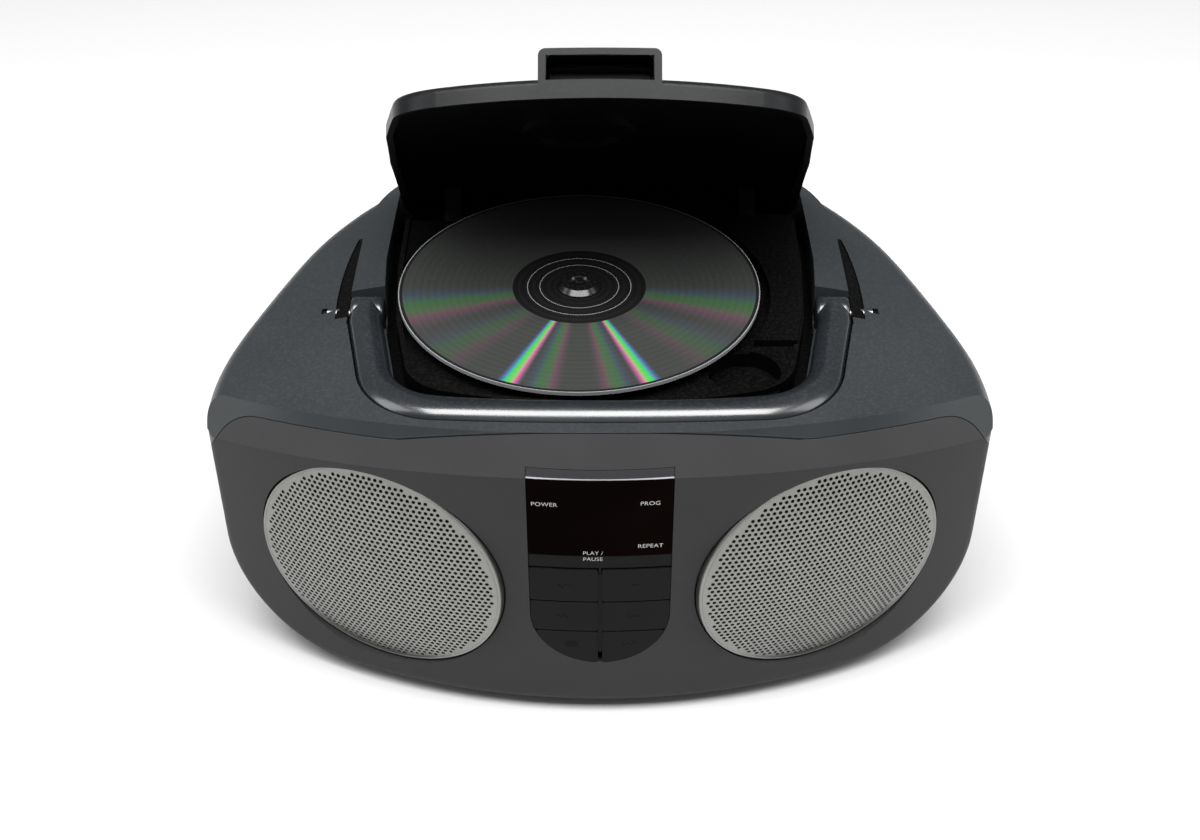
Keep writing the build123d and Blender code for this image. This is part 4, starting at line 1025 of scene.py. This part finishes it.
# painted shade: a thin black strip down the middle between the keys
def addKeyGapShade():
    size = keyGapShadeSizes
    mesh = bmesh.new()
    rows = []
    for step in range(size["steps"]):
        z = size["low"] + (size["high"] - size["low"]) * step / (size["steps"] - 1)
        placed = faceMatrix(("control_frame",), 0.0, z * mm)
        rows.append([mesh.verts.new(placed @ Vector((side * size["half"], 0.0, 0.0))) for side in (-1, 1)])
    for here, there in zip(rows, rows[1:]):
        mesh.faces.new((here[0], here[1], there[1], there[0]))
    strip = placePiece("keyGapShade", meshData("keyGapShade", mesh), "wellPlastic")
    thicken(strip, "sheet", size["sheet"])
    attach(strip, "body")


wordSizes = {
    "fontToCap": 1.42,  # font size over cap height
    "spacing": 1.04,
    "thinning": -0.008 * mm,
    "words": [  # text, x, z, cap height in millimetres
        ("POWER", -16.9, 94.3, 1.6),
        ("PROG", 15.2, 94.9, 1.6),
        ("REPEAT", 15.5, 76.9, 1.6),
        ("PLAY /", -2.2, 74.2, 1.5),
        ("PAUSE", -2.2, 71.3, 1.5),
    ],
}


def addWord(text, x, z, height):
    curve = bpy.data.curves.new("word", "FONT")
    curve.body = text
    curve.size = height * mm * wordSizes["fontToCap"]
    curve.align_x = "CENTER"
    curve.space_character = wordSizes["spacing"]
    curve.offset = wordSizes["thinning"]
    scratch = bpy.data.objects.new("word", curve)
    data = bpy.data.meshes.new_from_object(scratch)
    bpy.data.objects.remove(scratch)
    data.name = "word" + "".join(letter for letter in text.title() if letter.isalpha())
    data.transform(faceMatrix(("display_lens", "control_frame"), x * mm, z * mm))
    word = placePiece(data.name, data, "legendInk")
    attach(word, "body")


def block(left, low, right, high):
    return [(left, low), (right, low), (right, high), (left, high)]


signSizes = {
    "raised": 0.08 * mm,
    "signs": {  # body: x, z and outlines in millimetres
        "play_button": (-11.8, 59.5, [[(-1.6, -1.3), (0.2, 0.0), (-1.6, 1.3)],
                                      block(0.8, -1.3, 1.3, 1.3), block(1.9, -1.3, 2.4, 1.3)]),
        "stop_button": (11.0, 59.5, [block(-1.1, -1.1, 1.1, 1.1)]),
        "skip_button": (-11.8, 45.6, [[(-2.0, -1.2), (-0.3, 0.0), (-2.0, 1.2)],
                                      [(-0.2, -1.2), (1.5, 0.0), (-0.2, 1.2)],
                                      block(1.7, -1.2, 2.1, 1.2)]),
        "search_button": (11.0, 45.6, [[(2.0, -1.2), (2.0, 1.2), (0.3, 0.0)],
                                       [(0.2, -1.2), (0.2, 1.2), (-1.5, 0.0)],
                                       block(-2.1, -1.2, -1.7, 1.2)]),
        "program_button": (-9.4, 33.0, [block(-2.0, 0.7, 2.0, 1.1), block(-2.0, -0.2, 2.0, 0.2),
                                        block(-2.0, -1.1, 2.0, -0.7)]),
        "bass_button": (9.4, 33.0, [block(-2.2, -1.1, -1.4, -0.3), block(-0.4, -1.1, 0.4, 0.4),
                                    block(1.4, -1.1, 2.2, 1.1)]),
    },
}


def addSign(body, x, z, outlines):
    mesh = bmesh.new()
    for outline in outlines:
        mesh.faces.new([mesh.verts.new((a * mm, b * mm, 0.0)) for a, b in outline])
    placed = faceMatrix((body, "control_frame"), x * mm, z * mm)
    sign = placePiece(body + "Sign", meshData(body + "Sign", mesh, placed), "wellPlastic")
    thicken(sign, "raised", signSizes["raised"])
    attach(sign, body)


addKeyGapShade()
for text, x, z, height in wordSizes["words"]:
    addWord(text, x, z, height)
for body, (x, z, outlines) in signSizes["signs"].items():
    addSign(body, x, z, outlines)
print("words and signs placed")

# floor


def addFloor():
    half = studio["floorSize"] / 2
    mesh = bmesh.new()
    mesh.faces.new([mesh.verts.new((x, y, 0.0)) for x, y in block(-half, -half, half, half)])
    floor = addObject("paleFloor", meshData("paleFloor", mesh))
    paint = bpy.data.materials.new("palePaper")
    paint.use_nodes = True
    shader = paint.node_tree.nodes["Principled BSDF"]
    grey = studio["floorGrey"]
    shader.inputs["Base Color"].default_value = (grey, grey, grey, 1.0)
    shader.inputs["Roughness"].default_value = studio["floorRoughness"]
    floor.data.materials.append(paint)


addFloor()
print("floor laid")
